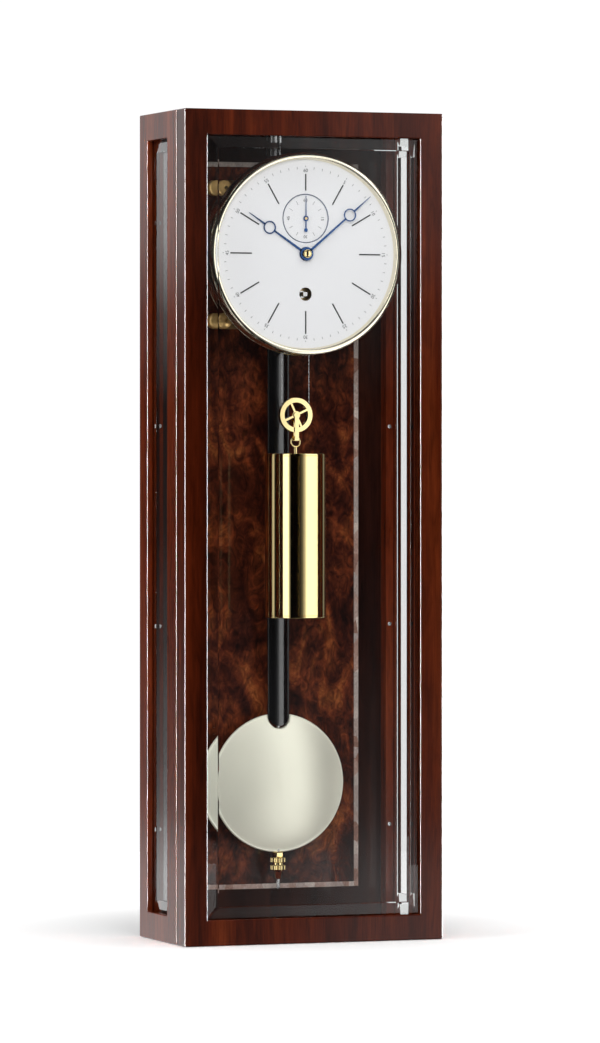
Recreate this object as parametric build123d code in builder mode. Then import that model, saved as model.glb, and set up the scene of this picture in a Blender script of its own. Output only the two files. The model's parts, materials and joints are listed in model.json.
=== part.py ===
from build123d import *
import math
import os

# A weight-driven wall regulator clock in a glazed walnut case.
# Millimetres. The origin is the centre of the hanger's hole on the wall plane.
# +X is to the right seen from the front, +Y into the wall, +Z up.

os.makedirs("parts", exist_ok=True)

# ---------------------------------------------------------------- driving dimensions
case_height = 890
case_width = 295
case_depth = 148
hanger_below_top = 44
board = 18
seam = 1.6
door_thick = 26
door_stile = 26
door_rail = 27.5
dial_up = 738
pendulum_up = 858
bob_up = 166
bob_radius = 75.5
weight_radius = 33
weight_length = 177
pulley_groove_radius = 15.5
bezel_radius = 109.2

# ---------------------------------------------------------------- places worked out from them
top_z = hanger_below_top
base_z = top_z - case_height
half_width = case_width / 2
front_y = -case_depth
door_back_y = front_y + door_thick
case_front_y = door_back_y + seam
inner_half = half_width - board
end_board = 24
floor_z = base_z + end_board
ceiling_z = top_z - end_board
panel_front_y = -10.5
panel_back_y = -0.5
dial_z = base_z + dial_up
pivot_z = base_z + pendulum_up
bob_z = base_z + bob_up
pendulum_y = -34
weight_y = -88
dial_y = -119.5

# ---------------------------------------------------------------- glazing
edge_round = 1.5
rebate = 4.5
glass_overlap = 4
door_lip = 4.1
door_glass_thick = 5.5
door_glass_front_y = front_y + 1.5
bevel_wide = 17
bevel_deep = 3.7
opening_half = half_width - door_stile
opening_low_z = base_z + door_rail
opening_high_z = top_z - door_rail

window_front_y = front_y + 57.7
window_back_y = front_y + 122.6
window_low_z = base_z + 29
window_high_z = top_z - 29
side_lip = 5.5
side_glass_thick = 4
side_bevel_deep = 2.4


def side_window(offset_x, margin):
    """The side window's outline on an upright plane at that x, grown by a margin on every side."""
    middle = ((window_front_y + window_back_y) / 2, (window_low_z + window_high_z) / 2)
    depth = window_back_y - window_front_y + 2 * margin
    tall = window_high_z - window_low_z + 2 * margin
    with BuildSketch(Plane.YZ.offset(offset_x)) as outline:
        with Locations(middle):
            Rectangle(depth, tall)
    return outline.sketch


def facing_front(rear_y, x=0, z=0):
    """A plane that looks towards the front, its local x to the right and local y up."""
    return Plane(origin=(x, rear_y, z), x_dir=(1, 0, 0), z_dir=(0, -1, 0))


def toothed(plane, teeth, module, phase, bore, spokes=0, width=0.36):
    """A gear's face: straight-sided teeth, one of them centred on the phase angle in degrees."""
    pitch_radius = teeth * module / 2
    root = pitch_radius - 1.1 * module
    tip = pitch_radius + 0.75 * module
    step = 360 / teeth
    points = []
    for tooth in range(teeth):
        middle = phase + tooth * step
        for radius, offset in (
            (root, -width * 0.62),
            (tip, -width * 0.30),
            (tip, width * 0.30),
            (root, width * 0.62),
        ):
            angle = math.radians(middle + offset * step)
            points.append((radius * math.cos(angle), radius * math.sin(angle)))
    with BuildSketch(plane) as face:
        with BuildLine():
            Polyline(*points, close=True)
        make_face()
        Circle(bore, mode=Mode.SUBTRACT)
        if spokes:
            cut_spokes(spokes, bore + 3.2, root - 2.6 * module, 2.2)
    return face.sketch


def cut_spokes(spokes, hub, rim, arm):
    """Cuts the openings between the arms of a wheel out of the sketch in hand."""
    for opening in range(spokes):
        start = 360 / spokes * opening
        inner = math.degrees(math.asin(arm / 2 / hub))
        outer = math.degrees(math.asin(arm / 2 / rim))
        span = 360 / spokes
        middle = math.radians(start + span / 2)
        with BuildLine() as gap:
            a = (hub * math.cos(math.radians(start + inner)), hub * math.sin(math.radians(start + inner)))
            b = (rim * math.cos(math.radians(start + outer)), rim * math.sin(math.radians(start + outer)))
            c = (
                rim * math.cos(math.radians(start + span - outer)),
                rim * math.sin(math.radians(start + span - outer)),
            )
            d = (
                hub * math.cos(math.radians(start + span - inner)),
                hub * math.sin(math.radians(start + span - inner)),
            )
            Line(a, b)
            ThreePointArc(b, (rim * math.cos(middle), rim * math.sin(middle)), c)
            Line(c, d)
            ThreePointArc(d, (hub * math.cos(middle), hub * math.sin(middle)), a)
        make_face(gap.edges(), mode=Mode.SUBTRACT)


def save(piece, label):
    """Labels a finished sub-part and writes its file."""
    piece.part.label = label
    export_step(piece.part, f"parts/{label}.step")


# ================================================================ the case
bead_screws_up = (0.106, 0.37, 0.63, 0.894)
catch_z = (base_z + top_z) / 2
catch_x = -(half_width - board / 2)
magnet_radius = 4
magnet_long = 5
hinge_pin_x = half_width + 2.8
hinge_y = door_back_y + seam / 2
hinge_heights = (base_z + 130, top_z - 130)

for side, name in ((-1, "left"), (1, "right")):
    inner_x = side * inner_half
    with BuildPart() as side_frame:
        with BuildSketch(Plane.XY.offset(base_z)):
            with Locations((side * (half_width - board / 2), case_front_y / 2)):
                Rectangle(board, -case_front_y)
        extrude(amount=case_height)
        outer_edges = side_frame.edges().filter_by(Axis.Z).sort_by(Axis.X)
        fillet(outer_edges[:2] if side < 0 else outer_edges[-2:], edge_round / 2)
        extrude(side_window(inner_x, 0), amount=side * board, mode=Mode.SUBTRACT)
        extrude(side_window(inner_x, rebate), amount=side * (board - side_lip), mode=Mode.SUBTRACT)
        if side < 0:
            with BuildSketch(facing_front(case_front_y, catch_x, catch_z)):
                Circle(magnet_radius + 0.05)
            extrude(amount=-magnet_long, mode=Mode.SUBTRACT)
    save(side_frame, f"side_frame_{name}")

    lip_x = side * (half_width - side_lip)
    bevel_x = lip_x - side * side_bevel_deep
    with BuildPart() as side_glass:
        rear_outline = side_window(lip_x - side * side_glass_thick, glass_overlap)
        extrude(rear_outline, amount=side * (side_glass_thick - side_bevel_deep))
        add(side_window(bevel_x, glass_overlap))
        add(side_window(lip_x, glass_overlap - bevel_wide))
        loft(ruled=True)
    save(side_glass, f"side_glass_{name}")

with BuildPart() as side_beads:
    bead_thick = half_width - side_lip - side_glass_thick - inner_half
    for side in (-1, 1):
        extrude(side_window(side * inner_half, rebate), amount=side * bead_thick)
        extrude(side_window(side * inner_half, 0), amount=side * bead_thick, mode=Mode.SUBTRACT)
        for up in bead_screws_up:
            height = window_low_z + up * (window_high_z - window_low_z)
            screw_x = side * (inner_half + 4)
            with BuildSketch(facing_front(window_back_y + rebate, screw_x, height)):
                Circle(1.1)
            extrude(amount=rebate, mode=Mode.SUBTRACT)
save(side_beads, "side_beads")

with BuildPart() as end_boards:
    for low_z in (base_z, ceiling_z):
        with BuildSketch(Plane.XY.offset(low_z)):
            with Locations((0, case_front_y / 2)):
                Rectangle(2 * inner_half, -case_front_y)
        extrude(amount=end_board)
save(end_boards, "end_boards")

# ---------------------------------------------------------------- back panel, burl field, inlay band
inlay_half = 102.6
inlay_wide = 5.2
inlay_margin = 48.9
inlay_thick = 1
inlay_low_z = base_z + inlay_margin
inlay_high_z = top_z - inlay_margin
inlay_mid_z = (inlay_low_z + inlay_high_z) / 2
inlay_tall = inlay_high_z - inlay_low_z
plate_wide = 46
plate_tall = 52
plate_thick = 2
plate_mid_z = -7
hanger_radius = 5
slot_half = 2.75
slot_rise = 10
pocket_deep = 6
plate_screws = ((-16, -27), (16, -27), (-16, 13), (16, 13))

with BuildPart() as back_panel:
    with BuildSketch(facing_front(panel_back_y)):
        with Locations((0, (floor_z + ceiling_z) / 2)):
            Rectangle(2 * inner_half, ceiling_z - floor_z)
    extrude(amount=panel_back_y - panel_front_y)
    with BuildSketch(facing_front(panel_front_y + inlay_thick)):
        with Locations((0, inlay_mid_z)):
            Rectangle(2 * inlay_half, inlay_tall)
    extrude(amount=inlay_thick, mode=Mode.SUBTRACT)
    with BuildSketch(facing_front(-plate_thick)):
        with Locations((0, plate_mid_z)):
            Rectangle(plate_wide, plate_tall)
    extrude(amount=-plate_thick, mode=Mode.SUBTRACT)
    with BuildSketch(facing_front(-plate_thick - pocket_deep)):
        with Locations((0, slot_rise / 2)):
            Rectangle(2 * hanger_radius + 4, slot_rise + 2 * hanger_radius + 4)
    extrude(amount=-pocket_deep, mode=Mode.SUBTRACT)
    for screw_x, screw_z in plate_screws:
        with BuildSketch(facing_front(-plate_thick - 5, screw_x, screw_z)):
            Circle(1.55)
        extrude(amount=-5, mode=Mode.SUBTRACT)
save(back_panel, "back_panel")

with BuildPart() as inlay_band:
    with BuildSketch(facing_front(panel_front_y + inlay_thick)):
        with Locations((0, inlay_mid_z)):
            Rectangle(2 * inlay_half, inlay_tall)
            Rectangle(2 * (inlay_half - inlay_wide), inlay_tall - 2 * inlay_wide, mode=Mode.SUBTRACT)
    extrude(amount=inlay_thick)
save(inlay_band, "inlay_band")

with BuildPart() as burl_panel:
    with BuildSketch(facing_front(panel_front_y + inlay_thick)):
        with Locations((0, inlay_mid_z)):
            Rectangle(2 * (inlay_half - inlay_wide), inlay_tall - 2 * inlay_wide)
    extrude(amount=inlay_thick)
save(burl_panel, "burl_panel")

with BuildPart() as hanger_plate:
    with BuildSketch(facing_front(-plate_thick)):
        with Locations((0, plate_mid_z)):
            Rectangle(plate_wide, plate_tall)
        Circle(hanger_radius, mode=Mode.SUBTRACT)
        with Locations((0, slot_rise / 2)):
            Rectangle(2 * slot_half, slot_rise, mode=Mode.SUBTRACT)
        with Locations((0, slot_rise)):
            Circle(slot_half, mode=Mode.SUBTRACT)
        with Locations(*plate_screws):
            Circle(1.55, mode=Mode.SUBTRACT)
    extrude(amount=-plate_thick)
save(hanger_plate, "hanger_plate")

with BuildPart() as case_screws:
    for side in (-1, 1):
        for up in bead_screws_up:
            height = window_low_z + up * (window_high_z - window_low_z)
            screw_x = side * (inner_half + 4)
            with BuildSketch(facing_front(window_back_y + rebate, screw_x, height)):
                Circle(1.05)
            extrude(amount=rebate)
            with BuildSketch(facing_front(window_back_y, screw_x, height)):
                Circle(2.1)
            extrude(amount=0.9)
            with BuildSketch(facing_front(window_back_y - 0.5, screw_x, height)):
                Rectangle(3.2, 0.5)
            extrude(amount=0.5, mode=Mode.SUBTRACT)
    for screw_x, screw_z in plate_screws:
        with BuildSketch(facing_front(-plate_thick - 5, screw_x, screw_z)):
            Circle(1.5)
        extrude(amount=-(5 + plate_thick))
save(case_screws, "case_screws")

with BuildPart() as wall_bumpers:
    for side in (-1, 1):
        with BuildSketch(facing_front(panel_back_y, side * 105, floor_z + 22)):
            Circle(9)
        extrude(amount=-0.5)
save(wall_bumpers, "wall_bumpers")

with BuildPart() as catch_magnet:
    with BuildSketch(facing_front(case_front_y, catch_x, catch_z)):
        Circle(magnet_radius)
    extrude(amount=-magnet_long)
save(catch_magnet, "catch_magnet")

# ================================================================ hinges
knuckle_radius = 2.5
hinge_pin_radius = 1.2
hinge_bore = 1.26
hinge_tall = 50
knuckle_gap = 0.3
leaf_inner_x = half_width - 17
door_knuckle = 18


def leaf_with_knuckles(rear_y, thick, spans, hinge_z, bore):
    """One leaf of a butt hinge, cut clear of the other leaf's knuckles, with its own knuckles."""
    low_z = hinge_z - hinge_tall / 2
    with BuildPart() as leaf:
        with BuildSketch(facing_front(rear_y, (leaf_inner_x + half_width - 1) / 2, hinge_z)):
            Rectangle(half_width - 1 - leaf_inner_x, hinge_tall)
        extrude(amount=thick)
        tongue_x = (half_width - 1 + hinge_pin_x) / 2
        for start, end in spans:
            with BuildSketch(facing_front(rear_y, tongue_x, low_z + (start + end) / 2)):
                Rectangle(hinge_pin_x - half_width + 1, end - start)
            extrude(amount=thick)
            with BuildSketch(Plane(origin=(hinge_pin_x, hinge_y, low_z + start), z_dir=(0, 0, 1))):
                Circle(knuckle_radius)
            extrude(amount=end - start)
            with BuildSketch(Plane(origin=(hinge_pin_x, hinge_y, low_z + start), z_dir=(0, 0, 1))):
                Circle(bore)
            extrude(amount=end - start, mode=Mode.SUBTRACT)
    return leaf.part


middle_low = (hinge_tall - door_knuckle) / 2
middle_high = middle_low + door_knuckle
case_spans = ((0, middle_low - knuckle_gap), (middle_high + knuckle_gap, hinge_tall))
door_spans = ((middle_low, middle_high),)

with BuildPart() as hinge_case_leaves:
    for hinge_z in hinge_heights:
        add(leaf_with_knuckles(case_front_y, seam / 2, case_spans, hinge_z, hinge_pin_radius))
        with BuildSketch(Plane(origin=(hinge_pin_x, hinge_y, hinge_z - hinge_tall / 2), z_dir=(0, 0, 1))):
            Circle(hinge_pin_radius)
        extrude(amount=hinge_tall)
save(hinge_case_leaves, "hinge_case_leaves")

with BuildPart() as hinge_door_leaves:
    for hinge_z in hinge_heights:
        add(leaf_with_knuckles(hinge_y, seam / 2, door_spans, hinge_z, hinge_bore))
save(hinge_door_leaves, "hinge_door_leaves")

# ================================================================ the door
stile_mid_x = half_width - door_stile / 2
opening_mid_z = (opening_low_z + opening_high_z) / 2
opening_tall = opening_high_z - opening_low_z
lip_back_y = front_y + door_lip
strike_thick = 1

with BuildPart() as door_stiles:
    for side in (-1, 1):
        with BuildSketch(Plane.XY.offset(base_z)):
            with Locations((side * stile_mid_x, (front_y + door_back_y) / 2)):
                RectangleRounded(door_stile, door_thick, edge_round)
        extrude(amount=case_height)
    with BuildSketch(facing_front(door_back_y, 0, opening_mid_z)):
        Rectangle(2 * (opening_half + rebate), opening_tall + 2 * rebate)
    extrude(amount=door_back_y - lip_back_y, mode=Mode.SUBTRACT)
    with BuildSketch(facing_front(door_back_y, catch_x, catch_z)):
        Circle(5.5)
    extrude(amount=strike_thick, mode=Mode.SUBTRACT)
save(door_stiles, "door_stiles")

with BuildPart() as door_rails:
    for middle_z in (base_z + door_rail / 2, top_z - door_rail / 2):
        with BuildSketch(Plane.YZ.offset(-opening_half)):
            with Locations(((front_y + door_back_y) / 2, middle_z)):
                RectangleRounded(door_thick, door_rail, edge_round)
        extrude(amount=2 * opening_half)
    with BuildSketch(facing_front(door_back_y, 0, opening_mid_z)):
        Rectangle(2 * (opening_half + rebate), opening_tall + 2 * rebate)
    extrude(amount=door_back_y - lip_back_y, mode=Mode.SUBTRACT)
save(door_rails, "door_rails")

door_glass_back_y = door_glass_front_y + door_glass_thick
door_glass_wide = 2 * (opening_half + glass_overlap)
door_glass_tall = opening_tall + 2 * glass_overlap
with BuildPart() as door_glass:
    with BuildSketch(facing_front(door_glass_back_y, 0, opening_mid_z)):
        Rectangle(door_glass_wide, door_glass_tall)
    extrude(amount=door_glass_thick - bevel_deep)
    with BuildSketch(facing_front(door_glass_front_y + bevel_deep, 0, opening_mid_z)):
        Rectangle(door_glass_wide, door_glass_tall)
    with BuildSketch(facing_front(door_glass_front_y, 0, opening_mid_z)):
        Rectangle(door_glass_wide - 2 * bevel_wide, door_glass_tall - 2 * bevel_wide)
    loft(ruled=True)
save(door_glass, "door_glass")

with BuildPart() as door_beads:
    with BuildSketch(facing_front(door_back_y - 1, 0, opening_mid_z)):
        Rectangle(2 * (opening_half + rebate), opening_tall + 2 * rebate)
        Rectangle(2 * opening_half, opening_tall, mode=Mode.SUBTRACT)
    extrude(amount=door_back_y - 1 - door_glass_back_y)
save(door_beads, "door_beads")

with BuildPart() as catch_strike:
    with BuildSketch(facing_front(door_back_y, catch_x, catch_z)):
        Circle(5.4)
    extrude(amount=strike_thick)
save(catch_strike, "catch_strike")

# ================================================================ the movement: places
post_x = 76
post_dz = 71.6
post_radius = 4
rear_plate_y = -65.5
plate_gauge = 2.5
front_plate_y = -105.5
barrel_dz = -43.3
seconds_dz = 38
anchor_dz = 63.6

centre_module = 0.5
third_module = 0.45
great_module = 0.8
middle_module = 0.7
motion_module = 0.55
centre_teeth = 80
third_teeth = 75
great_teeth = 96
middle_teeth = 60
escape_teeth = 36
small_pinion = 10
middle_pinion = 12
centre_pinion = 16
cannon_teeth = 12
minute_teeth = 36
minute_pinion_teeth = 12
hour_teeth = 48

third_x = 8.45
third_dz = 20.85
third_z = dial_z + third_dz
barrel_z = dial_z + barrel_dz
seconds_z = dial_z + seconds_dz
anchor_z = dial_z + anchor_dz
middle_reach = great_module * (great_teeth + middle_pinion) / 2
centre_reach = middle_module * (middle_teeth + centre_pinion) / 2
middle_dz = (middle_reach**2 - centre_reach**2 - barrel_dz**2) / (-2 * barrel_dz)
middle_x = math.sqrt(centre_reach**2 - middle_dz**2)
middle_z = dial_z + middle_dz
minute_reach = motion_module * (cannon_teeth + minute_teeth) / 2
minute_x = minute_reach * math.cos(math.radians(-35))
minute_z = dial_z + minute_reach * math.sin(math.radians(-35))
arbor_radius = 1.5
pivot_radius = 0.9
pivot_hole = 0.95


def bearing(from_x, from_z, to_x, to_z):
    """The direction from one arbor to another, in degrees."""
    return math.degrees(math.atan2(to_z - from_z, to_x - from_x))


# ---------------------------------------------------------------- plates, pillars, mounting posts
pillars = ((-38, 62), (38, 62), (-44, -62), (44, -62))
barrel_hole = 4.05
barrel_arbor_radius = 4
centre_arbor_radius = 2.0
centre_hole = 2.05
frame_wide = 104
frame_tall = 164
cable_radius = 0.45
fixed_end_dz = -70
stud_radius = 2
stud_back_y = -84

with BuildPart() as front_plate:
    with BuildSketch(facing_front(front_plate_y, 0, dial_z)):
        RectangleRounded(frame_wide, frame_tall, 5)
        Circle(centre_hole, mode=Mode.SUBTRACT)
        with Locations((0, barrel_dz)):
            Circle(barrel_hole, mode=Mode.SUBTRACT)
        with Locations((0, seconds_dz)):
            Circle(arbor_radius + 0.05, mode=Mode.SUBTRACT)
        with Locations((third_x, third_dz), (middle_x, middle_dz), (0, anchor_dz)):
            Circle(pivot_hole, mode=Mode.SUBTRACT)
    extrude(amount=plate_gauge)
    # the stud that the motion work turns on, and the stud that holds the cable's fixed end
    with BuildSketch(facing_front(front_plate_y - plate_gauge, minute_x, minute_z)):
        Circle(1)
    extrude(amount=7)
    with BuildSketch(facing_front(stud_back_y, -pulley_groove_radius, dial_z + fixed_end_dz)):
        Circle(stud_radius)
    extrude(amount=stud_back_y - front_plate_y)
    with BuildSketch(facing_front(stud_back_y, -pulley_groove_radius, dial_z + fixed_end_dz)):
        Circle(stud_radius + 1.2)
    extrude(amount=1.2)
save(front_plate, "front_plate")

with BuildPart() as rear_plate:
    with BuildSketch(facing_front(rear_plate_y, 0, dial_z)):
        RectangleRounded(frame_wide, frame_tall, 5)
        with Locations((0, post_dz), (0, -post_dz)):
            SlotCenterToCenter(2 * post_x, 17)
        with Locations((0, barrel_dz)):
            Circle(barrel_hole, mode=Mode.SUBTRACT)
        with Locations((0, 0), (0, seconds_dz), (third_x, third_dz), (middle_x, middle_dz)):
            Circle(pivot_hole, mode=Mode.SUBTRACT)
        with Locations((0, anchor_dz)):
            Circle(arbor_radius + 0.05, mode=Mode.SUBTRACT)
        with Locations(*[(sx * post_x, sz * post_dz) for sx in (-1, 1) for sz in (-1, 1)]):
            Circle(2.1, mode=Mode.SUBTRACT)
    extrude(amount=plate_gauge)
save(rear_plate, "rear_plate")

corners = [(sx * post_x, dial_z + sz * post_dz) for sx in (-1, 1) for sz in (-1, 1)]
knob_front_y = rear_plate_y - plate_gauge - 11

with BuildPart() as mounting_posts:
    for corner_x, corner_z in corners:
        with BuildSketch(facing_front(panel_front_y, corner_x, corner_z)):
            Circle(8)
        extrude(amount=3)
        with BuildSketch(facing_front(panel_front_y - 3, corner_x, corner_z)):
            Circle(post_radius)
        extrude(amount=panel_front_y - 3 - rear_plate_y)
        with BuildSketch(facing_front(rear_plate_y, corner_x, corner_z)):
            Circle(2)
        extrude(amount=rear_plate_y - knob_front_y)
    for pillar_x, pillar_dz in pillars:
        with BuildSketch(facing_front(rear_plate_y - plate_gauge, pillar_x, dial_z + pillar_dz)):
            Circle(3.5)
        extrude(amount=rear_plate_y - plate_gauge - front_plate_y)
save(mounting_posts, "posts_and_pillars")

with BuildPart() as post_knobs:
    for corner_x, corner_z in corners:
        with BuildSketch(facing_front(rear_plate_y - plate_gauge, corner_x, corner_z)):
            Circle(4.5)
            Circle(2, mode=Mode.SUBTRACT)
        extrude(amount=3)
        with BuildSketch(facing_front(rear_plate_y - plate_gauge - 3, corner_x, corner_z)):
            Circle(8.5)
            Circle(2, mode=Mode.SUBTRACT)
        extrude(amount=8)
    rims = post_knobs.edges().filter_by(GeomType.CIRCLE).filter_by(lambda e: abs(e.radius - 8.5) < 0.01)
    fillet(rims, 2.5)
save(post_knobs, "post_knobs")

# ---------------------------------------------------------------- dial, bezel, applied bars
dial_radius = 107
dial_thick = 1.5
dial_back_y = dial_y + dial_thick
bezel_front_y = dial_y - 7.2
bezel_back_y = bezel_front_y + 20
bezel_inner = 101.3
winding_hole = 7.2
subdial_radius = 26.5
bar_inner = 61.5
bar_outer = 86
bar_thick = 0.5
dial_feet = ((0, 70), (-38.1, -35), (38.1, -35))

with BuildPart() as dial:
    with BuildSketch(facing_front(dial_back_y, 0, dial_z)):
        Circle(dial_radius)
        Circle(5.2, mode=Mode.SUBTRACT)
        with Locations((0, barrel_dz)):
            Circle(winding_hole, mode=Mode.SUBTRACT)
        with Locations((0, seconds_dz)):
            Circle(1.8, mode=Mode.SUBTRACT)
    extrude(amount=dial_thick)
    with BuildSketch(facing_front(dial_y + 0.6, 0, seconds_z)):
        Circle(subdial_radius)
    extrude(amount=0.6, mode=Mode.SUBTRACT)
    for foot_x, foot_dz in dial_feet:
        with BuildSketch(facing_front(front_plate_y - plate_gauge, foot_x, dial_z + foot_dz)):
            Circle(2)
        extrude(amount=front_plate_y - plate_gauge - dial_back_y)
save(dial, "dial")

with BuildPart() as subdial_ring:
    with BuildSketch(facing_front(dial_y + 0.6, 0, seconds_z)):
        Circle(subdial_radius)
        Circle(subdial_radius - 1.1, mode=Mode.SUBTRACT)
    extrude(amount=0.7)
save(subdial_ring, "subdial_ring")

with BuildPart() as hour_bars:
    for hour in range(12):
        angle = math.radians(90 - 30 * hour)
        reach_in = 68 if hour == 0 else bar_inner
        middle_r = (reach_in + bar_outer) / 2
        bar_plane = Plane(
            origin=(middle_r * math.cos(angle), dial_y, dial_z + middle_r * math.sin(angle)),
            x_dir=(math.cos(angle), 0, math.sin(angle)),
            z_dir=(0, -1, 0),
        )
        with BuildSketch(bar_plane):
            Rectangle(bar_outer - reach_in, 1.3)
        extrude(amount=bar_thick)
save(hour_bars, "hour_bars")

with BuildPart() as bezel:
    with BuildSketch(Plane(origin=(0, 0, dial_z), x_dir=(1, 0, 0), z_dir=(0, 0, 1))):
        with BuildLine():
            Polyline(
                (bezel_inner, dial_y),
                (bezel_inner + 1.4, bezel_front_y + 1.2),
            )
            ThreePointArc(
                (bezel_inner + 1.4, bezel_front_y + 1.2),
                (bezel_inner + 4.2, bezel_front_y),
                (bezel_radius - 0.3, bezel_front_y + 2.2),
            )
            Polyline(
                (bezel_radius - 0.3, bezel_front_y + 2.2),
                (bezel_radius - 0.3, bezel_back_y - 1),
                (bezel_radius, bezel_back_y - 1),
                (bezel_radius, bezel_back_y),
                (dial_radius + 0.2, bezel_back_y),
                (dial_radius + 0.2, dial_y),
                (bezel_inner, dial_y),
            )
        make_face()
    revolve(axis=Axis((0, 0, dial_z), (0, 1, 0)))
save(bezel, "bezel")

# ================================================================ the going train
pinion_face = 3.5
wheel_face = 1.5
escape_wheel_y = -74.5
third_wheel_y = -86.5
centre_wheel_y = -97.5
middle_wheel_y = -71
great_wheel_y = -76.8
plates_inside_front = front_plate_y
plates_inside_back = rear_plate_y - plate_gauge
end_shake = 0.15


def rod_between(back_y, front_y_end, radius, x, z):
    """A round rod along the arbor's axis, from its back end to its front end."""
    with BuildSketch(facing_front(back_y, x, z)) as round_face:
        Circle(radius)
    extrude(round_face.sketch, amount=back_y - front_y_end)


def plain_arbor(x, z, front_end=None):
    """An arbor between the plates with a thin pivot at each end."""
    rod_between(plates_inside_back - end_shake, plates_inside_front + end_shake, arbor_radius, x, z)
    rod_between(rear_plate_y, plates_inside_back - end_shake, pivot_radius, x, z)
    if front_end is None:
        rod_between(plates_inside_front + end_shake, plates_inside_front - plate_gauge, pivot_radius, x, z)


# centre wheel at the middle, its pinion driven by the intermediate wheel
to_third = bearing(0, dial_z, third_x, third_z)
to_middle = bearing(0, dial_z, middle_x, middle_z)
to_minute = bearing(0, dial_z, minute_x, minute_z)
cannon_y = -109.5
hand_hub_y = -126
with BuildPart() as centre_wheel:
    plain_arbor(0, dial_z, front_end=0)
    rod_between(plates_inside_front + end_shake, hand_hub_y, centre_arbor_radius, 0, dial_z)
    extrude(
        toothed(
            facing_front(centre_wheel_y, 0, dial_z),
            centre_teeth,
            centre_module,
            to_third,
            arbor_radius - 0.01,
            5,
        ),
        amount=wheel_face,
    )
    extrude(
        toothed(
            facing_front(middle_wheel_y + 0.5, 0, dial_z),
            centre_pinion,
            middle_module,
            to_middle + 180 / centre_pinion,
            arbor_radius - 0.01,
        ),
        amount=pinion_face,
    )
    # the cannon pinion, in front of the front plate, drives the motion work
    extrude(
        toothed(
            facing_front(cannon_y, 0, dial_z),
            cannon_teeth,
            motion_module,
            to_minute,
            centre_arbor_radius,
        ),
        amount=1.8,
    )
    with BuildSketch(facing_front(cannon_y - 1.8, 0, dial_z)):
        Circle(2.6)
        Circle(centre_arbor_radius, mode=Mode.SUBTRACT)
    extrude(amount=cannon_y - 1.8 - hand_hub_y)
save(centre_wheel, "centre_wheel")

stud_hole = 1.05
with BuildPart() as minute_wheel:
    extrude(
        toothed(
            facing_front(cannon_y, minute_x, minute_z),
            minute_teeth,
            motion_module,
            to_minute + 180 + 180 / minute_teeth,
            stud_hole,
        ),
        amount=1.8,
    )
    hour_module = minute_reach * 2 / (minute_pinion_teeth + hour_teeth)
    extrude(
        toothed(
            facing_front(cannon_y - 1.8, minute_x, minute_z),
            minute_pinion_teeth,
            hour_module,
            to_minute + 180,
            stud_hole,
        ),
        amount=2.6,
    )
save(minute_wheel, "minute_wheel")

hour_wheel_y = cannon_y - 2.2
hour_pipe = 3.6
hour_hand_y = -120.6
hour_pipe_front_y = hour_hand_y - 1.6
with BuildPart() as hour_wheel:
    extrude(
        toothed(
            facing_front(hour_wheel_y, 0, dial_z),
            hour_teeth,
            hour_module,
            to_minute + 180 / hour_teeth,
            2.66,
        ),
        amount=1.6,
    )
    with BuildSketch(facing_front(hour_wheel_y - 1.6, 0, dial_z)):
        Circle(hour_pipe)
        Circle(2.66, mode=Mode.SUBTRACT)
    extrude(amount=hour_wheel_y - 1.6 - hour_pipe_front_y)
save(hour_wheel, "hour_wheel")

# third wheel
with BuildPart() as third_wheel:
    plain_arbor(third_x, third_z)
    extrude(
        toothed(
            facing_front(third_wheel_y, third_x, third_z),
            third_teeth,
            third_module,
            bearing(third_x, third_z, 0, seconds_z),
            arbor_radius - 0.01,
            5,
        ),
        amount=wheel_face,
    )
    extrude(
        toothed(
            facing_front(centre_wheel_y + 1, third_x, third_z),
            small_pinion,
            centre_module,
            to_third + 180 + 180 / small_pinion,
            arbor_radius - 0.01,
        ),
        amount=pinion_face,
    )
save(third_wheel, "third_wheel")

# escape wheel on the seconds arbor
escape_radius = 17.3
seconds_hub_y = -121.2
with BuildPart() as escape_wheel:
    plain_arbor(0, seconds_z, front_end=0)
    rod_between(plates_inside_front + end_shake, seconds_hub_y, arbor_radius, 0, seconds_z)
    with BuildSketch(facing_front(escape_wheel_y, 0, seconds_z)):
        with BuildLine():
            tooth_points = []
            for tooth in range(escape_teeth):
                start = 360 / escape_teeth * tooth
                for radius, angle in (
                    (escape_radius - 3, start - 2.6),
                    (escape_radius, start - 0.5),
                    (escape_radius, start + 0.2),
                    (escape_radius - 3, start + 1.2),
                ):
                    turn = math.radians(angle)
                    tooth_points.append((radius * math.cos(turn), radius * math.sin(turn)))
            Polyline(*tooth_points, close=True)
        make_face()
        cut_spokes(5, 4.5, escape_radius - 5, 2)
    extrude(amount=1.2)
    extrude(
        toothed(
            facing_front(third_wheel_y + 1, 0, seconds_z),
            small_pinion,
            third_module,
            bearing(0, seconds_z, third_x, third_z) + 180 / small_pinion,
            arbor_radius - 0.01,
        ),
        amount=pinion_face,
    )
save(escape_wheel, "escape_wheel")

# intermediate wheel between the barrel and the centre
with BuildPart() as intermediate_wheel:
    plain_arbor(middle_x, middle_z)
    extrude(
        toothed(
            facing_front(middle_wheel_y, middle_x, middle_z),
            middle_teeth,
            middle_module,
            to_middle + 180,
            arbor_radius - 0.01,
            5,
        ),
        amount=wheel_face,
    )
    extrude(
        toothed(
            facing_front(great_wheel_y + 0.5, middle_x, middle_z),
            middle_pinion,
            great_module,
            bearing(middle_x, middle_z, 0, barrel_z) + 180 / middle_pinion,
            arbor_radius - 0.01,
        ),
        amount=pinion_face,
    )
save(intermediate_wheel, "intermediate_wheel")

# ---------------------------------------------------------------- barrel, ratchet, great wheel, click
drum_radius = pulley_groove_radius - cable_radius - 0.25
drum_back_y = -82
drum_front_y = -95
flange_radius = 19.5
ratchet_radius = 13
ratchet_teeth = 18
great_bore = 4.06
great_face = 2.2
click_x = 20.5
winding_end_y = -118.6

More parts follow.
